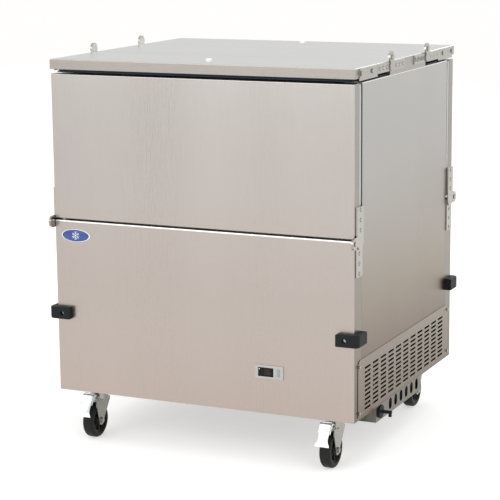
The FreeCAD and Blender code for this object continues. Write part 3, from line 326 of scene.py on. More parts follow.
# Painted shade: a front sheet's narrow end is darker than its face.
FLANK_PAINTED_SHADE = [(0.16, (0.13, 0.10, 0.075)), (0.35, (0.20, 0.175, 0.145)), (0.60, (0.24, 0.218, 0.19)),
         (1.0, (0.31, 0.30, 0.28))]
flank_painted_shade = ("x", body_high.x - HEM, FLANK_PAINTED_SHADE)
# Painted highlights: a pale line along the sill's bend and along the side's top edge.
sill_painted_highlight = ("z", sill - BEND, one_tint(0.82, 0.80, 0.775))
side_top_painted_highlight = ("z", body_high.z - BEND / 2, one_tint(0.8, 0.79, 0.77))
# Painted light: each lid's flat top is lighter than its sides.
lid_top_painted_light = ("z", lid_top - LID_SHEET, one_tint(0.485, 0.485, 0.48))
front_steel = brushed_steel("front_steel", FRONT_PAINTED_REFLECTION, brush=0.7, folds=[flank_painted_shade])
sill_steel = brushed_steel("sill_steel", FRONT_PAINTED_REFLECTION, brush=0.7, folds=[sill_painted_highlight, flank_painted_shade])
side_steel = brushed_steel("side_steel", SIDE_PAINTED_REFLECTION, brush=0.7, folds=[side_top_painted_highlight])
lid_steel = brushed_steel("lid_steel", one_tint(0.36, 0.33, 0.307), grain="x", patchy=0.03, folds=[lid_top_painted_light])
grille_steel = brushed_steel("grille_steel", [(0.14, (0.155, 0.118, 0.084)), (0.30, (0.215, 0.18, 0.142))],
                             grain="y")
liner_steel = brushed_steel("liner_steel", [(0.2, (0.42, 0.42, 0.41)), (1.0, (0.47, 0.47, 0.46))],
                            roughness=0.36)
hinge_steel = brushed_steel("hinge_steel", [(0.2, (0.33, 0.31, 0.28)), (1.0, (0.40, 0.385, 0.355))],
                            roughness=0.24, brush=0.5)
print("steels:", len([m for m in bpy.data.materials if "steel" in m.name]))

# %% [markdown]
# ## Zinc, galvanised and bare metal
# The casters are zinc plated: a thin bright coat with a faint uneven cast. The tray and the base are
# galvanised sheet, whose zinc froze in flat crystals, which a Voronoi pattern copies better than a
# noise does. The fins and fan blades are bare aluminium, and the pipes are copper that has begun to
# darken.


# %% Plated and bare metals
SPREAD, FINER, GRAIN_DEPTH = 0.16, 14, 0.00003


def plated(name, bright, dull, scale, roughness, crystals=False):
    """Metal with a soft uneven cast, or with flat crystals."""
    coat = Finish(name, metallic=1.0)
    cast = coat.noise(scale, detail=3)
    if crystals:
        cells = coat.node("TexVoronoi", {"distance": "CHEBYCHEV"}, out="Color", Vector=coat.place,
                          Scale=scale)
        cast = (cast + coat.node("SeparateColor", {}, cells)) * 0.5
    coat.set(Base_Color=coat.between(dull, bright, cast), Roughness=(cast - 0.5) * SPREAD + roughness,
             Normal=coat.bump(coat.noise(scale * FINER, detail=2), GRAIN_DEPTH))
    return coat.material


zinc = plated("zinc_plate", (0.42, 0.41, 0.375), (0.29, 0.28, 0.25), 60, 0.26)
pedal_zinc = plated("pedal_zinc", (0.76, 0.79, 0.82), (0.68, 0.71, 0.74), 50, 0.3)
galvanised = plated("galvanised", (0.235, 0.22, 0.19), (0.15, 0.14, 0.115), 70, 0.42, crystals=True)
aluminium = plated("bare_aluminium", (0.80, 0.81, 0.82), (0.70, 0.71, 0.72), 90, 0.35)
copper = plated("copper", (0.80, 0.42, 0.26), (0.52, 0.24, 0.14), 45, 0.32)
print("plated metals:", zinc.name, pedal_zinc.name, galvanised.name, aluminium.name, copper.name)

# %% [markdown]
# ## Rubber, plastic and paint
# These aren't metal, so their colour is their own and their gloss is a thin even sheen. Rubber is near
# black with a moulded grain. The lid gaskets are a dark vinyl and the door gaskets a grey one. The
# controller's case is a satin grey plastic, its window is a smoked glossy one, and the badge is a deep
# blue enamel with a clear coat. One function covers them all, because only the numbers differ.


# %% Moulded and painted finishes
def moulded(name, colour, roughness, grain_scale=700, grain=0.00004, uneven=0.12, coat=0.0, specular=0.5):
    """Plastic, rubber or paint: one colour, slightly uneven, with a fine grain."""
    skin = Finish(name)
    skin.set(**{"Coat Weight": coat, "Coat Roughness": 0.08, "Specular IOR Level": specular})
    patch = skin.noise(35, detail=2)
    pale = tuple(min(1.0, c * (1 + uneven) + 0.003) for c in colour)
    deep = tuple(c * (1 - uneven) for c in colour)
    skin.set(Base_Color=skin.between(deep, pale, patch), Roughness=(patch - 0.5) * 0.1 + roughness,
             Normal=skin.bump(skin.noise(grain_scale, detail=3), grain))
    return skin.material


black_rubber = moulded("black_rubber", (0.009, 0.010, 0.011), 0.55, specular=0.14)
wheel_rubber = moulded("wheel_rubber", (0.009, 0.0085, 0.008), 0.5, grain_scale=400, specular=0.18)
gasket_vinyl = moulded("gasket_vinyl", (0.035, 0.045, 0.06), 0.48, grain=0.00002)
door_vinyl = moulded("door_vinyl", (0.26, 0.265, 0.27), 0.48, grain=0.00002)
# Near-black painted shade: the bead along the cabinet's top edges and the rings round rivet heads.
sealant = moulded("sealant", (0.045, 0.047, 0.052), 0.6, grain=0.0001)
inner_panel = moulded("inner_panel", (0.43, 0.43, 0.42), 0.42, grain=0.00006, uneven=0.02)
foam = moulded("foam", (0.78, 0.70, 0.48), 0.9, grain_scale=900, grain=0.0003)
white_nylon = moulded("white_nylon", (0.88, 0.88, 0.86), 0.35, grain=0.00001, uneven=0.02)
bezel_grey = moulded("bezel_grey", (0.38, 0.37, 0.365), 0.38, grain_scale=1200, grain=0.00002)
wheel_core = moulded("wheel_core", (0.014, 0.014, 0.015), 0.4, specular=0.3)
key_grey = moulded("key_grey", (0.27, 0.27, 0.275), 0.45)
display_window = moulded("display_window", (0.008, 0.0075, 0.0075), 0.12, grain=0, specular=0.12)
badge_blue = moulded("badge_blue", (0.012, 0.045, 0.22), 0.22, grain=0, uneven=0.05, coat=0.5)
black_paint = moulded("black_paint", (0.025, 0.025, 0.027), 0.35, coat=0.2)
print("moulded finishes made")

# %% [markdown]
# ## Finishes onto the frame
# Each CAD node names a slot, so one table says which finish a slot takes. That is shorter than dressing
# sixty nodes one by one. Sheets that face different ways take their own steel.

# %% Dress the CAD nodes
FINISHES = {"stainless": front_steel, "liner_steel": liner_steel, "foam": foam, "inner_panel": inner_panel,
            "gasket": gasket_vinyl, "black_rubber": black_rubber, "wheel_rubber": wheel_rubber,
            "zinc_plate": zinc, "pedal_zinc": pedal_zinc, "hinge_steel": hinge_steel,
            "white_nylon": white_nylon, "badge_blue": badge_blue, "bezel_grey": bezel_grey,
            "display_window": display_window, "key_grey": key_grey, "black_paint": black_paint,
            "bare_aluminium": aluminium, "copper": copper, "galvanised": galvanised}
OWN_STEEL = {"side_panel_left": side_steel, "side_panel_right": side_steel, "centre_rail": lid_steel,
             "front_lid_skin": lid_steel, "rear_lid_skin": lid_steel, "side_grille": grille_steel,
             "lower_front_panel": sill_steel, "lower_rear_panel": sill_steel}
for name, node in frame["nodes"].items():
    for holder in node.material_slots:
        holder.material = OWN_STEEL.get(name, FINISHES[holder.material.name])
print("dressed", len(frame["nodes"]), "nodes")

# %% [markdown]
# ## Making a piece
# A new piece starts as a bmesh, which is a mesh held in memory where operators can shape it. Turned
# parts come from a half section spun about an axis, and pressed or moulded parts from a bevelled cube
# or a bent grid. When it is done it becomes an object, gets its finish, rides on its part of the
# cooler, and the plain CAD nodes it stands for are hidden.


# %% Piece tools
AXES = {"x": Vector((1, 0, 0)), "y": Vector((0, 1, 0)), "z": Vector((0, 0, 1))}


def finished(name, shape, body, finish, replaced=(), sharp=35):
    """Turns a bmesh into a piece: welded, facing outward, smooth except across sharp edges."""
    bmesh.ops.remove_doubles(shape, verts=shape.verts, dist=1e-6)
    bmesh.ops.recalc_face_normals(shape, faces=shape.faces)
    for face in shape.faces:
        face.smooth = True
    for edge in shape.edges:
        edge.smooth = len(edge.link_faces) == 2 and edge.calc_face_angle() < math.radians(sharp)
    data = bpy.data.meshes.new(name)
    shape.to_mesh(data)
    shape.free()
    data.materials.append(finish)
    piece = bpy.data.objects.new(name, data)
    bpy.context.collection.objects.link(piece)
    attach(piece, body)
    if replaced:
        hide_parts(*replaced)
    return piece


def towards(axis, at):
    """The place and turn that put a shape's own Z along the axis."""
    return Matrix.Translation(at) @ AXES["z"].rotation_difference(AXES[axis]).to_matrix().to_4x4()


def soften(shape, edges, offset, segments):
    """Rounds edges with a bevel."""
    bmesh.ops.bevel(shape, geom=list(edges), offset=offset, segments=segments, profile=0.5, affect="EDGES",
                    material=-1)


def add_rod(shape, axis, at, radius, length, segments=32, soft=0.0):
    """A cylinder centred at a point along an axis, with its rims softened."""
    made = bmesh.ops.create_cone(shape, cap_ends=True, segments=segments, radius1=radius, radius2=radius,
                                 depth=length, matrix=towards(axis, at))["verts"]
    if soft:
        rims = {e for v in made for e in v.link_edges if any(len(f.verts) > 4 for f in e.link_faces)}
        soften(shape, rims, soft, 3)


def add_block(shape, low, high, soft=0.0, segments=2, turn=Matrix.Identity(4)):
    """A box between two corners, its edges rounded, with an optional turn of the whole box."""
    low, high = Vector(low), Vector(high)
    place = turn @ Matrix.Translation((low + high) / 2) @ Matrix.Diagonal((*(high - low), 1))
    made = bmesh.ops.create_cube(shape, size=1, matrix=place)["verts"]
    if soft:
        soften(shape, {e for v in made for e in v.link_edges}, soft, segments)


def about(point, axis, degrees):
    """A turn about an axis through a point."""
    spin = Matrix.Rotation(math.radians(degrees), 4, AXES[axis])
    return Matrix.Translation(point) @ spin @ Matrix.Translation(-Vector(point))


def add_turned(shape, axis, at, section, steps=64):
    """Spins a closed half section of (along the axis, radius) points a full turn."""
    out = AXES["y"] if axis == "x" else AXES["x"]
    corners = [shape.verts.new(Vector(at) + AXES[axis] * along + out * radius) for along, radius in section]
    edges = [shape.edges.new(pair) for pair in zip(corners, corners[1:] + corners[:1])]
    bmesh.ops.spin(shape, geom=corners + edges, cent=at, axis=AXES[axis], angle=2 * math.pi, steps=steps,
                   use_merge=True)


def arc(middle, radius, start, stop, count):
    """Points on an arc, as a section uses them; the angles are in degrees."""
    turns = [math.radians(start + (stop - start) * i / count) for i in range(count + 1)]
    return [(middle[0] + radius * math.cos(t), middle[1] + radius * math.sin(t)) for t in turns]


print("piece tools ready")

# %% [markdown]
# ## Wheels
# A caster wheel is a hard rubber tyre moulded on a plastic core. The tyre's tread is crowned, so that
# it turns easily, and it stands a little proud of the core on both faces. A bevelled cylinder could
# stand for the tyre, but both are turned parts, and a half section spun about the axle gives the crown,
# the bead and the hub in one go. Six ribs stiffen the core between hub and rim.


# %% Wheels
TYRE_DEPTH, TYRE_CORNER, CORE_SINK, RIBS = 0.0145, 0.008, 0.004, 6
CROWN, BEAD_STEP, SIDE_CLEAR, HUB_PROUD = 0.0007, 0.0012, 0.0012, 0.0009
HUB, BORE, HALF_WEB, HALF_RIB, RIM_STEP = 0.014, 0.0051, 0.004, 0.0013, 0.0045


def both_sides(section):
    """A half section and its mirror image on the other side of the wheel."""
    return section + [(-a, r) for a, r in reversed(section)]


def tyre_shape(axle, radius, half, rim):
    shape = bmesh.new()
    tread = arc((half - TYRE_CORNER, radius - TYRE_CORNER), TYRE_CORNER, 0, 84, 6)
    crown = [(half * share, radius - CROWN * share ** 2) for share in (0.35, 0, -0.35)]
    bead = [(half - BEAD_STEP, rim), (half, rim + 0.0015)]
    section = bead + tread
    add_turned(shape, "x", axle, section + crown + [(-a, r) for a, r in reversed(section)], 96)
    return shape


def core_shape(axle, half, rim):
    shape = bmesh.new()
    face, out = half - CORE_SINK, half + HUB_PROUD
    add_turned(shape, "x", axle, both_sides(
        [(out, BORE), (out, HUB - 0.001), (half, HUB), (HALF_WEB, HUB + 0.0015), (HALF_WEB, rim - 0.006),
         (face, rim - 0.004), (face, rim + 0.0001)]), 64)
    for i in range(RIBS):
        for way in (-1, 1):
            near, far = sorted((way * HALF_WEB * 0.5, way * (face - 0.0005)))
            add_block(shape, axle + Vector((near, -HALF_RIB, HUB)),
                      axle + Vector((far, HALF_RIB, rim - RIM_STEP)), 0.0005, 1,
                      about(axle, "x", i * 360 / RIBS))
    return shape


for name in [n for n in frame["nodes"] if n.endswith("_wheel")]:
    low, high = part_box(name)
    axle, radius, half = (low + high) / 2, (high.z - low.z) / 2, (high.x - low.x) / 2 - SIDE_CLEAR
    rim = radius - TYRE_DEPTH
    finished(name.replace("_wheel", "_tyre"), tyre_shape(axle, radius, half, rim), name,
             wheel_rubber, [name], sharp=50)
    finished(name.replace("_wheel", "_wheel_core"), core_shape(axle, half, rim), name,
             wheel_core, [name])
print("wheels of radius", round(radius, 4), "at", [round(c, 3) for c in axle])

# %% [markdown]
# ## Brake pedals
# Each front caster has a pressed steel pedal. Seen from the front it has a straight top with a rolled
# edge, narrows in a smooth curve to a neck, and flares again to a wide tip for the shoe. Seen from the
# side it is a gentle S. It could be cut from a bent slab, but the outline would then have corners. A
# grid gives the sheet instead: its rows run down the pedal, and each row is moved onto the S and drawn
# in to the width there. Solidify then gives the sheet its gauge. A cheek on each side holds the pivot.


# %% Brake pedals
PEDAL_ROWS, PEDAL_COLUMNS, PEDAL_SHEET, DISH = 28, 12, 0.0022, 0.0016
ROLL_RADIUS, ROLL_FORWARD, ROLL_UP = 0.0021, 0.0006, 0.0186
CHEEK_OUT, CHEEK_SHEET = 0.0157, 0.0009
S_CURVE = [(-0.0135, 0.0185), (-0.0215, 0.0145), (-0.030, -0.004), (-0.0385, -0.0205), (-0.0445, -0.030),
           (-0.0472, -0.0365)]
HALF_WIDTHS = [0.0150, 0.0152, 0.0140, 0.0132, 0.0165, 0.0200]
CHEEK = [(0.006, -0.003), (0.0075, 0.006), (-0.012, 0.0175), (-0.021, 0.013), (-0.0315, -0.008),
         (-0.0295, -0.0095), (-0.019, 0.004), (-0.0075, -0.005)]


def along(points, share):
    """A smooth line through evenly spaced points, read at a share of its length from 0 to 1."""
    place = share * (len(points) - 1)
    i = min(int(place), len(points) - 2)
    before, here, there, after = (Vector(points[max(0, min(len(points) - 1, i + k))]) for k in (-1, 0, 1, 2))
    t = place - i
    return 0.5 * ((2 * here) + (there - before) * t + (2 * before - 5 * here + 4 * there - after) * t ** 2
                  + (3 * here - before - 3 * there + after) * t ** 3)


def add_tread(shape, pivot):
    """The S-shaped, slightly dished sheet, and the rolled edge along its top."""
    grid = bmesh.ops.create_grid(shape, x_segments=PEDAL_COLUMNS, y_segments=PEDAL_ROWS, size=1)["verts"]
    for v in grid:
        share = (1 - v.co.y) / 2
        forward, up = along(S_CURVE, share)
        width = along([(w, 0) for w in HALF_WIDTHS], share)[0]
        dish = DISH * (1 - v.co.x ** 2) * math.sin(math.pi * share)
        v.co = pivot + Vector((v.co.x * width, forward + dish, up))
    bmesh.ops.solidify(shape, geom=shape.faces[:], thickness=PEDAL_SHEET)
    add_rod(shape, "x", pivot + Vector((0, S_CURVE[0][0] + ROLL_FORWARD, ROLL_UP)), ROLL_RADIUS,
            2 * HALF_WIDTHS[0] - 0.001, 20)


def add_cheek(shape, pivot, side):
    """A flat side plate round the pivot."""
    corners = [shape.verts.new(pivot + Vector((side * CHEEK_OUT, y, z))) for y, z in CHEEK]
    wall = bmesh.ops.extrude_face_region(shape, geom=[shape.faces.new(corners)])["geom"]
    bmesh.ops.translate(shape, vec=(side * CHEEK_SHEET, 0, 0),
                        verts=[g for g in wall if isinstance(g, bmesh.types.BMVert)])


for joint in [j for j in frame["joints"] if j["name"].endswith("_brake_pivot")]:
    name = joint["name"].replace("_brake_pivot", "")
    pivot = Vector(joint["pos_m"])
    pedal = bmesh.new()
    add_tread(pedal, pivot)
    for side in (-1, 1):
        add_cheek(pedal, pivot, side)
    finished(f"{name}_pedal_pressing", pedal, f"{name}_brake", pedal_zinc,
             [f"{name}_brake_pedal"], sharp=60)

# %% [markdown]
# ## Seals
# Each door and lid closes on a soft seal that runs all round. Its section is a flat foot that plugs
# into the liner, a thin hollow bellows above it, and a rounded lip that meets the cabinet. A curve with
# a bevel profile would round the corners, and a welded seal has sharp mitres. So one section is placed
# at each corner of the frame, leaning outward along the mitre, and the four loops are bridged.


# %% Seals
SIDE_OF_SEAL = [(1, 0), (1, 0.18), (0.62, 0.26), (0.55, 0.42), (0.9, 0.55)]
LIP_FROM, LIP_RISE = 0.70, 0.30


def seal_section(width):
    """Points across the seal and up it, from 0 at the foot to 1 at the lip: foot, bellows and lip."""
    half = width / 2
    lip = [(-half * math.cos(math.radians(a)), LIP_FROM + LIP_RISE * math.sin(math.radians(a)))
           for a in range(0, 181, 20)]
    return ([(-half * across, up) for across, up in SIDE_OF_SEAL] + lip
            + [(half * across, up) for across, up in reversed(SIDE_OF_SEAL)])


def add_seal(shape, low, high, flat, foot, lip, width):
    """A mitred frame of the seal section between two corners; it stands along the flat axis."""
    a, b = [i for i in range(3) if i != "xyz".index(flat)]
    loops = []
    for side_a, side_b in ((-1, -1), (1, -1), (1, 1), (-1, 1)):
        corner = []
        for across, up in seal_section(width):
            point = [0, 0, 0]
            point[a] = (high[a] - width / 2 if side_a > 0 else low[a] + width / 2) + side_a * across
            point[b] = (high[b] - width / 2 if side_b > 0 else low[b] + width / 2) + side_b * across
            point["xyz".index(flat)] = foot + (lip - foot) * up
            corner.append(shape.verts.new(point))
        loops.append([shape.edges.new(pair) for pair in zip(corner, corner[1:] + corner[:1])])
    for here, there in zip(loops, loops[1:] + loops[:1]):
        bmesh.ops.bridge_loops(shape, edges=here + there)


DOOR_SEAL_WIDTH, LID_SEAL_WIDTH = 0.022, 0.020
for end, way in (("front", -1), ("rear", 1)):
    low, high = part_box(f"{end}_door_gasket")
    seal = bmesh.new()
    foot, lip = (low.y, high.y) if way < 0 else (high.y, low.y)
    add_seal(seal, low, high, "y", foot, lip, DOOR_SEAL_WIDTH)
    finished(f"{end}_door_seal", seal, f"{end}_door", door_vinyl, [f"{end}_door_gasket"], sharp=50)
    low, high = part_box(f"{end}_lid_gasket")
    seal = bmesh.new()
    add_seal(seal, low, high, "z", high.z, low.z, LID_SEAL_WIDTH)
    finished(f"{end}_lid_seal", seal, f"{end}_lid", gasket_vinyl, [f"{end}_lid_gasket"], sharp=50)

# %% [markdown]
# ## Finned coils
# A coil is a stack of thin aluminium fins on copper tubes that pass back and forth through them, held
# between two end plates. Through the slots of the grille only the fins' edges and the dark gaps show,
# so each fin is a plain sheet and not a pierced one. The return bends at the ends are real half turns,
# made by spinning a ring, because they do show past the end plates.


# %% Finned coils
FIN, END_PLATE, FIN_SHORT, TUBE, TUBE_SIDES = 0.0004, 0.0015, 0.002, 0.0042, 12


def add_coil(shape, low, high, count, margin):
    """Fins across the length (Y) of a coil block, set back by a margin from its end plates."""
    for i in range(count):
        y = low.y + margin + (high.y - low.y - 2 * margin) * (i + 0.5) / count
        add_block(shape, (low.x, y - FIN / 2, low.z + FIN_SHORT), (high.x, y + FIN / 2, high.z - FIN_SHORT))
    for y in (low.y + margin - END_PLATE, high.y - margin):
        add_block(shape, (low.x, y, low.z), (high.x, y + END_PLATE, high.z))


def add_return_bends(shape, low, high, rows, columns, margin):
    """Tubes through the fins, joined at each end by half turns."""
    step_z, step_x = (high.z - low.z) / rows, (high.x - low.x) / columns
    for column in range(columns):
        x = low.x + step_x * (column + 0.5)
        for row in range(rows):
            z = low.z + step_z * (row + 0.5)
            add_rod(shape, "y", (x, (low.y + high.y) / 2, z), TUBE, high.y - low.y - 2 * margin + 0.002,
                    TUBE_SIDES)
            if row + 1 < rows:
                end, way = ((high.y - margin, 1), (low.y + margin, -1))[row % 2]
                ring = bmesh.ops.create_circle(shape, segments=TUBE_SIDES, radius=TUBE,
                                               matrix=towards("y", (x, end, z)))["verts"]
                edges = list({e for v in ring for e in v.link_edges if e.other_vert(v) in ring})
                bmesh.ops.spin(shape, geom=ring + edges, cent=(x, end, z + step_z / 2), axis=(way, 0, 0),
                               angle=math.pi, steps=10)


EVAPORATOR_DEPTH, MOTOR_DEPTH = 0.032, 0.010
# The condenser's fins are black paint, which also stands in for the shade seen through the grille's slots.
coils = {"condenser_coil": (96, 8, 2, 0.012, black_paint, "black_paint"),
         "evaporator_coil": (90, 10, 2, 0.014, aluminium, "bare_aluminium")}
for name, (fins, rows, columns, margin, finish, slot) in coils.items():
    low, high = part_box(name)
    if name == "evaporator_coil":
        high.x = low.x + EVAPORATOR_DEPTH
    pack = bmesh.new()
    add_coil(pack, low, high, fins, margin)
    finished(f"{name}_fins", pack, "cabinet", finish, [name])
    tubes = bmesh.new()
    add_return_bends(tubes, low, high, rows, columns, margin)
    finished(f"{name}_tubes", tubes, "cabinet", copper, [name])
    print(name, "has", fins, "fins")
low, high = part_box("evaporator_coil")
motor_back = low.x + EVAPORATOR_DEPTH
motor_front, middle_z = motor_back + MOTOR_DEPTH, (low.z + high.z) / 2
motor = bmesh.new()
add_rod(motor, "x", ((motor_back + motor_front) / 2, 0, middle_z), 0.022, MOTOR_DEPTH, 40, soft=0.0015)
add_rod(motor, "x", ((motor_front + high.x) / 2, 0, middle_z), 0.004, high.x - motor_front, 20, soft=0.0004)
finished("evaporator_fan_motor", motor, "cabinet", aluminium, ["evaporator_coil"])

# %% [markdown]
# ## Painted shade round rivets
# The hinge straps are held by domed rivets, and each lid's keeper plate by two domed screws. Where a
# dome meets its plate a fine dark ring of painted shade stands in for the shadow at that joint, and it is
# what makes the heads stand out from a few steps away. A dark patch in the strap's material could draw
# it, but it would need every rivet's place written into the shader. Here it is a very thin ring spun
# round each head, so the places stay in one loop. The rows start at the hinge pivots, which the frame's joints
# give.

# %% Painted shade round rivets
RIVET, SCREW, SHADE_RING, SKIN, RING_STEPS = 0.0040, 0.0050, 0.0017, 0.0002, 20
FIRST, PITCH = 0.030, 0.026
FIXED_DOOR_FACE, DOOR_FACE, FIXED_LID_FACE, LID_FACE = 0.4350, 0.4383, 0.4403, 0.4370
DOOR_ROW, LID_ROW, KEEPER_SCREWS = 0.3545, 1.027, (0.351, 0.276)
pivots = {joint["name"]: joint.get("pos_m") for joint in frame["record"]["behaviour"]["joints"]}
door_pivot, lid_pivot = pivots["front_door_hinge"], pivots["rear_lid_hinge"]
steps = [FIRST + PITCH * i for i in range(3)]
places = {"cabinet": []}
for end, way in (("front", -1), ("rear", 1)):
    places["cabinet"] += [(FIXED_DOOR_FACE, way * DOOR_ROW, door_pivot[2] - step, RIVET) for step in steps]
    places["cabinet"] += [(FIXED_LID_FACE, way * (lid_pivot[1] - step), LID_ROW, RIVET) for step in steps]
    places[f"{end}_door"] = [(DOOR_FACE, way * DOOR_ROW, door_pivot[2] + step, RIVET) for step in steps]
    places[f"{end}_lid"] = ([(LID_FACE, way * (lid_pivot[1] + step), LID_ROW, RIVET) for step in steps]
                            + [(LID_FACE, way * y, LID_ROW, SCREW) for y in KEEPER_SCREWS])
for body, heads in places.items():
    # Each thin near-black ring is painted shade round a rivet or screw head.
    shade_rings = bmesh.new()
    for face, y, z, head in heads:
        section = [(-SKIN / 2, head), (SKIN / 2, head),
                   (SKIN / 2, head + SHADE_RING), (-SKIN / 2, head + SHADE_RING)]
        for side in (-1, 1):
            add_turned(shade_rings, "x", (side * face, y, z), section, steps=RING_STEPS)
    finished(f"{body}_rivet_shade_rings", shade_rings, body, sealant)
print("painted_shade_rings round", 2 * sum(map(len, places.values())), "heads")

# %% [markdown]
# ## Painted shade along the top edges
# The foam between the side sheets and the liner is open along its top edge, and a dark bead over it
# is painted shade, standing in for the shadow in the gap under the lids. It could be a curve with a
# round bevel, but a nearly flat strip is nearer, so it is a long block with softened edges, with far fewer faces.

# %% Painted shade beads
BEAD_FROM, BEAD_TOP, BEAD_SINK, BEAD_SHORT, BEAD_SOFT = 0.4212, 0.0016, 0.0002, 0.006, 0.0005
SIDE_SHEET = 0.0013
# A near-black bead on each side's top edge: painted shade under the lids.
bead = bmesh.new()
half_length = body_high.y - BEAD_SHORT
for side in (-1, 1):
    near, far = sorted((side * BEAD_FROM, side * (body_high.x - SIDE_SHEET)))
    add_block(bead, (near, -half_length, body_high.z - BEAD_SINK),
              (far, half_length, body_high.z + BEAD_TOP), BEAD_SOFT)
finished("sealant_beads", bead, "cabinet", sealant)
print("sealant beads", round(2 * half_length, 3), "m long")

# %% [markdown]
# ## Controller window
# The temperature controller is a satin grey case with a smoked window on its left and two keys on its
# right. The window sits in a narrow raised trim. The trim could be one plate with a hole cut in it, but
# a boolean leaves long thin faces, so it is four softened bars that meet round the window. A small
# pale dot in the window's upper corner is a painted glint.

# %% Controller window
WINDOW_FROM, WINDOW_TO, PROUD, LAP = 0.1666, 0.2165, 0.0006, 0.0002
TRIM, TRIM_OVER, TRIM_SOFT = 0.0022, 0.001, 0.0003
GLINT_IN, GLINT_DOWN, GLINT_RADIUS, GLINT_DEPTH = 0.0035, 0.0042, 0.0013, 0.0006
pane_low, pane_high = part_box("controller_window")
back_y, trim_front = pane_high.y, pane_low.y - PROUD
pane = bmesh.new()
add_block(pane, (WINDOW_FROM - LAP, pane_low.y - LAP, pane_low.z), (WINDOW_TO + LAP, back_y, pane_high.z))
finished("smoked_window", pane, "cabinet", display_window, ["controller_window"])
trim = bmesh.new()
for x0, x1, z0, z1 in ((pane_low.x - TRIM_OVER, WINDOW_FROM, pane_low.z - TRIM, pane_high.z + TRIM),
                       (WINDOW_TO, WINDOW_TO + TRIM, pane_low.z - TRIM, pane_high.z + TRIM),
                       (WINDOW_FROM, WINDOW_TO, pane_high.z, pane_high.z + TRIM),
                       (WINDOW_FROM, WINDOW_TO, pane_low.z - TRIM, pane_low.z)):
    add_block(trim, (x0, trim_front, z0), (x1, back_y, z1), TRIM_SOFT)
finished("window_trim", trim, "cabinet", bezel_grey)
# A small pale dot: a painted glint on the window.
lamp_and_glint = bmesh.new()
glint_at = (WINDOW_FROM + GLINT_IN, pane_low.y - GLINT_DEPTH / 2, pane_high.z - GLINT_DOWN)
add_rod(lamp_and_glint, "y", glint_at, GLINT_RADIUS, GLINT_DEPTH, 16)
finished("running_lamp", lamp_and_glint, "cabinet", white_nylon)
print("window", round(1000 * (WINDOW_TO - WINDOW_FROM), 1), "mm wide")

# %% [markdown]
# ## Figures and keys
# Behind the window are two seven-segment figures, unlit, and each key carries a raised arrow. Text
# objects could make the figures, but a seven-segment figure isn't lettering: it is the same seven bars
# with some of them present, so a table of bars and one loop make any of them.

# %% Figures
FIGURES = {"3": "abgcd", "6": "acdefg"}
SEGMENTS = {"a": (0, 2, 1), "b": (1, 1.5, 0), "c": (1, 0.5, 0), "d": (0, 0, 1), "e": (-1, 0.5, 0),
            "f": (-1, 1.5, 0), "g": (0, 1, 1)}
DIGIT_WIDTH, DIGIT_HEIGHT, SEGMENT, DIGIT_GAP, OFF_MIDDLE = 0.0064, 0.0125, 0.0013, 0.002, 0.62
BAR_PROUD, BAR_BEHIND = 0.00005, 0.0003
digits = bmesh.new()
middle_x, middle_z = (WINDOW_FROM + WINDOW_TO) / 2, (pane_low.z + pane_high.z) / 2
for place, figure in ((-OFF_MIDDLE, "3"), (OFF_MIDDLE, "6")):
    for letter in FIGURES[figure]:
        across, up, lies = SEGMENTS[letter]
        x = middle_x + place * (DIGIT_WIDTH + DIGIT_GAP) + across * DIGIT_WIDTH / 2
        z = middle_z + (up - 1) * DIGIT_HEIGHT / 2
        half_x = (DIGIT_WIDTH - SEGMENT) / 2 if lies else SEGMENT / 2
        half_z = SEGMENT / 2 if lies else DIGIT_HEIGHT / 4 - SEGMENT / 2
        add_block(digits, (x - half_x, pane_low.y - LAP - BAR_PROUD, z - half_z),
                  (x + half_x, pane_low.y + BAR_BEHIND, z + half_z))
unlit = Finish("display_figures")
unlit.set(Base_Color=unlit.between((0.040, 0.014, 0.012), (0.050, 0.018, 0.015), unlit.noise(400)),
          Roughness=0.4)
finished("display_figures", digits, "cabinet", unlit.material)
print("figures of", sum(map(len, FIGURES.values())), "bars")

# %% Keys
ARROW, ARROW_TOP, ARROW_DEPTH, ARROW_SHIFT = 0.0021, 0.0019, 0.0004, 0.0003
for name, way in (("up", 1), ("down", -1)):
    key_low, key_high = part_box(f"{name}_button")
    key = bmesh.new()
    add_block(key, key_low, key_high, 0.0008, 3)
    at = Vector(((key_low.x + key_high.x) / 2, key_low.y + 0.0001,
                 (key_low.z + key_high.z) / 2 - way * ARROW_SHIFT))
    face_front = Matrix.Rotation(math.radians(90), 4, "X") @ Matrix.Rotation(math.radians(90 * way), 4, "Z")
    bmesh.ops.create_cone(key, cap_ends=True, segments=3, radius1=ARROW, radius2=ARROW_TOP,
                          depth=ARROW_DEPTH, matrix=Matrix.Translation(at) @ face_front)
    finished(f"{name}_key", key, f"{name}_button", key_grey, [f"{name}_button"])
print("keys: up and down")

# %% [markdown]
# ## Badge
# The badge is a plain blue oval with a thin pale rim and a raised six-armed snow crystal. A picture on a
# flat plate would do from far away, but it would need an image, and its edges would blur close up. Rim
# and field are discs squeezed to an oval, one a little inside the other. Each arm of the crystal is a
# thin bar with two pairs of twigs, turned about the badge's middle.

# %% Badge
FIELD, RIM_DEPTH, FIELD_DEPTH, CRYSTAL_FROM = 0.945, 0.75, 0.9, 0.85
RIM_SOFT, FIELD_SOFT, FIELD_SHORT = 0.0005, 0.0004, 0.0002
ARMS, ARM, TWIG, BAR, TWIG_TURN, TWIG_PLACES = 6, 0.66, 0.22, 0.0009, 55, (0.45, 0.75)
low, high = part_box("badge")
middle, half_width, half_height = (low + high) / 2, (high.x - low.x) / 2, (high.z - low.z) / 2
badge_back, rise = high.y, high.y - low.y


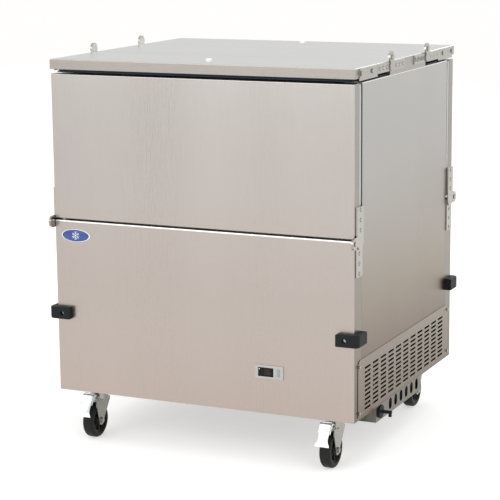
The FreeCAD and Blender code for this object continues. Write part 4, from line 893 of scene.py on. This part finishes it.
def oval(share, front, back, soft):
    """An oval disc, a share of the badge's size, with a softened front edge."""
    shape = bmesh.new()
    add_rod(shape, "y", (0, 0, 0), 1.0, 1.0, 96)
    half_way = (front + back) / 2
    place = (Matrix.Translation((middle.x, half_way, middle.z))
             @ Matrix.Diagonal((half_width * share, back - front, half_height * share, 1)))
    bmesh.ops.transform(shape, matrix=place, verts=shape.verts)
    soften(shape, [e for e in shape.edges if all(v.co.y < half_way for v in e.verts)], soft, 2)
    return shape


pale = moulded("badge_rim", (0.80, 0.82, 0.84), 0.3, grain=0, uneven=0.02)
finished("badge_rim", oval(1.0, badge_back - rise * RIM_DEPTH, badge_back, RIM_SOFT), "cabinet",
         pale, ["badge"])
field = oval(FIELD, badge_back - rise * FIELD_DEPTH, badge_back - FIELD_SHORT, FIELD_SOFT)
finished("badge_field", field, "cabinet", badge_blue, ["badge"])
crystal = bmesh.new()
crystal_back = badge_back - rise * CRYSTAL_FROM


def add_bar(root, length, turn):
    """A thin upright bar from its root, then turned."""
    add_block(crystal, (root.x - BAR / 2, low.y, root.z), (root.x + BAR / 2, crystal_back, root.z + length),
              turn=turn)


for i in range(ARMS):
    arm_turn = about(middle, "y", i * 360 / ARMS)
    add_bar(middle, half_height * ARM, arm_turn)
    for share in TWIG_PLACES:
        root = middle + Vector((0, 0, half_height * ARM * share))
        for way in (-1, 1):
            add_bar(root, half_height * TWIG, arm_turn @ about(root, "y", way * TWIG_TURN))
finished("badge_crystal", crystal, "cabinet", pale, ["badge"])
print("badge", round(2 * half_width * 1000), "by", round(2 * half_height * 1000), "mm")

# %% [markdown]
# ## Floor
# The cooler stands on a plain white floor, which isn't part of it and so is marked as stage. A floor of
# diffuse white alone goes grey away from the lamps, so it gives off a little light of its own, and the
# shadow under the cooler stays soft and pale.

# %% Floor
FLOOR_HALF, GLOW = 9, 0.5
floor_mesh = bmesh.new()
bmesh.ops.create_grid(floor_mesh, x_segments=1, y_segments=1, size=FLOOR_HALF)
floor_data = bpy.data.meshes.new("floor")
floor_mesh.to_mesh(floor_data)
floor_mesh.free()
floor = bpy.data.objects.new("floor", floor_data)
bpy.context.collection.objects.link(floor)
floor_finish = Finish("floor_finish")
floor_finish.set(Base_Color=floor_finish.between((0.60, 0.60, 0.60), (0.63, 0.63, 0.63),
                                                 floor_finish.noise(2.0)), Roughness=0.8,
                 **{"Emission Color": (1, 1, 1, 1), "Emission Strength": GLOW, "Specular IOR Level": 0.0})
floor_data.materials.append(floor_finish.material)
floor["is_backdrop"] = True
print("floor laid")

# %% [markdown]
# ## Sizes out
# The box round all the visual pieces, the floor left out, is printed. The visual pieces have to stay
# inside the box of the CAD model.

# %% Sizes out
low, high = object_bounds()
print("visual box:", [round(v, 4) for v in low], [round(v, 4) for v in high])
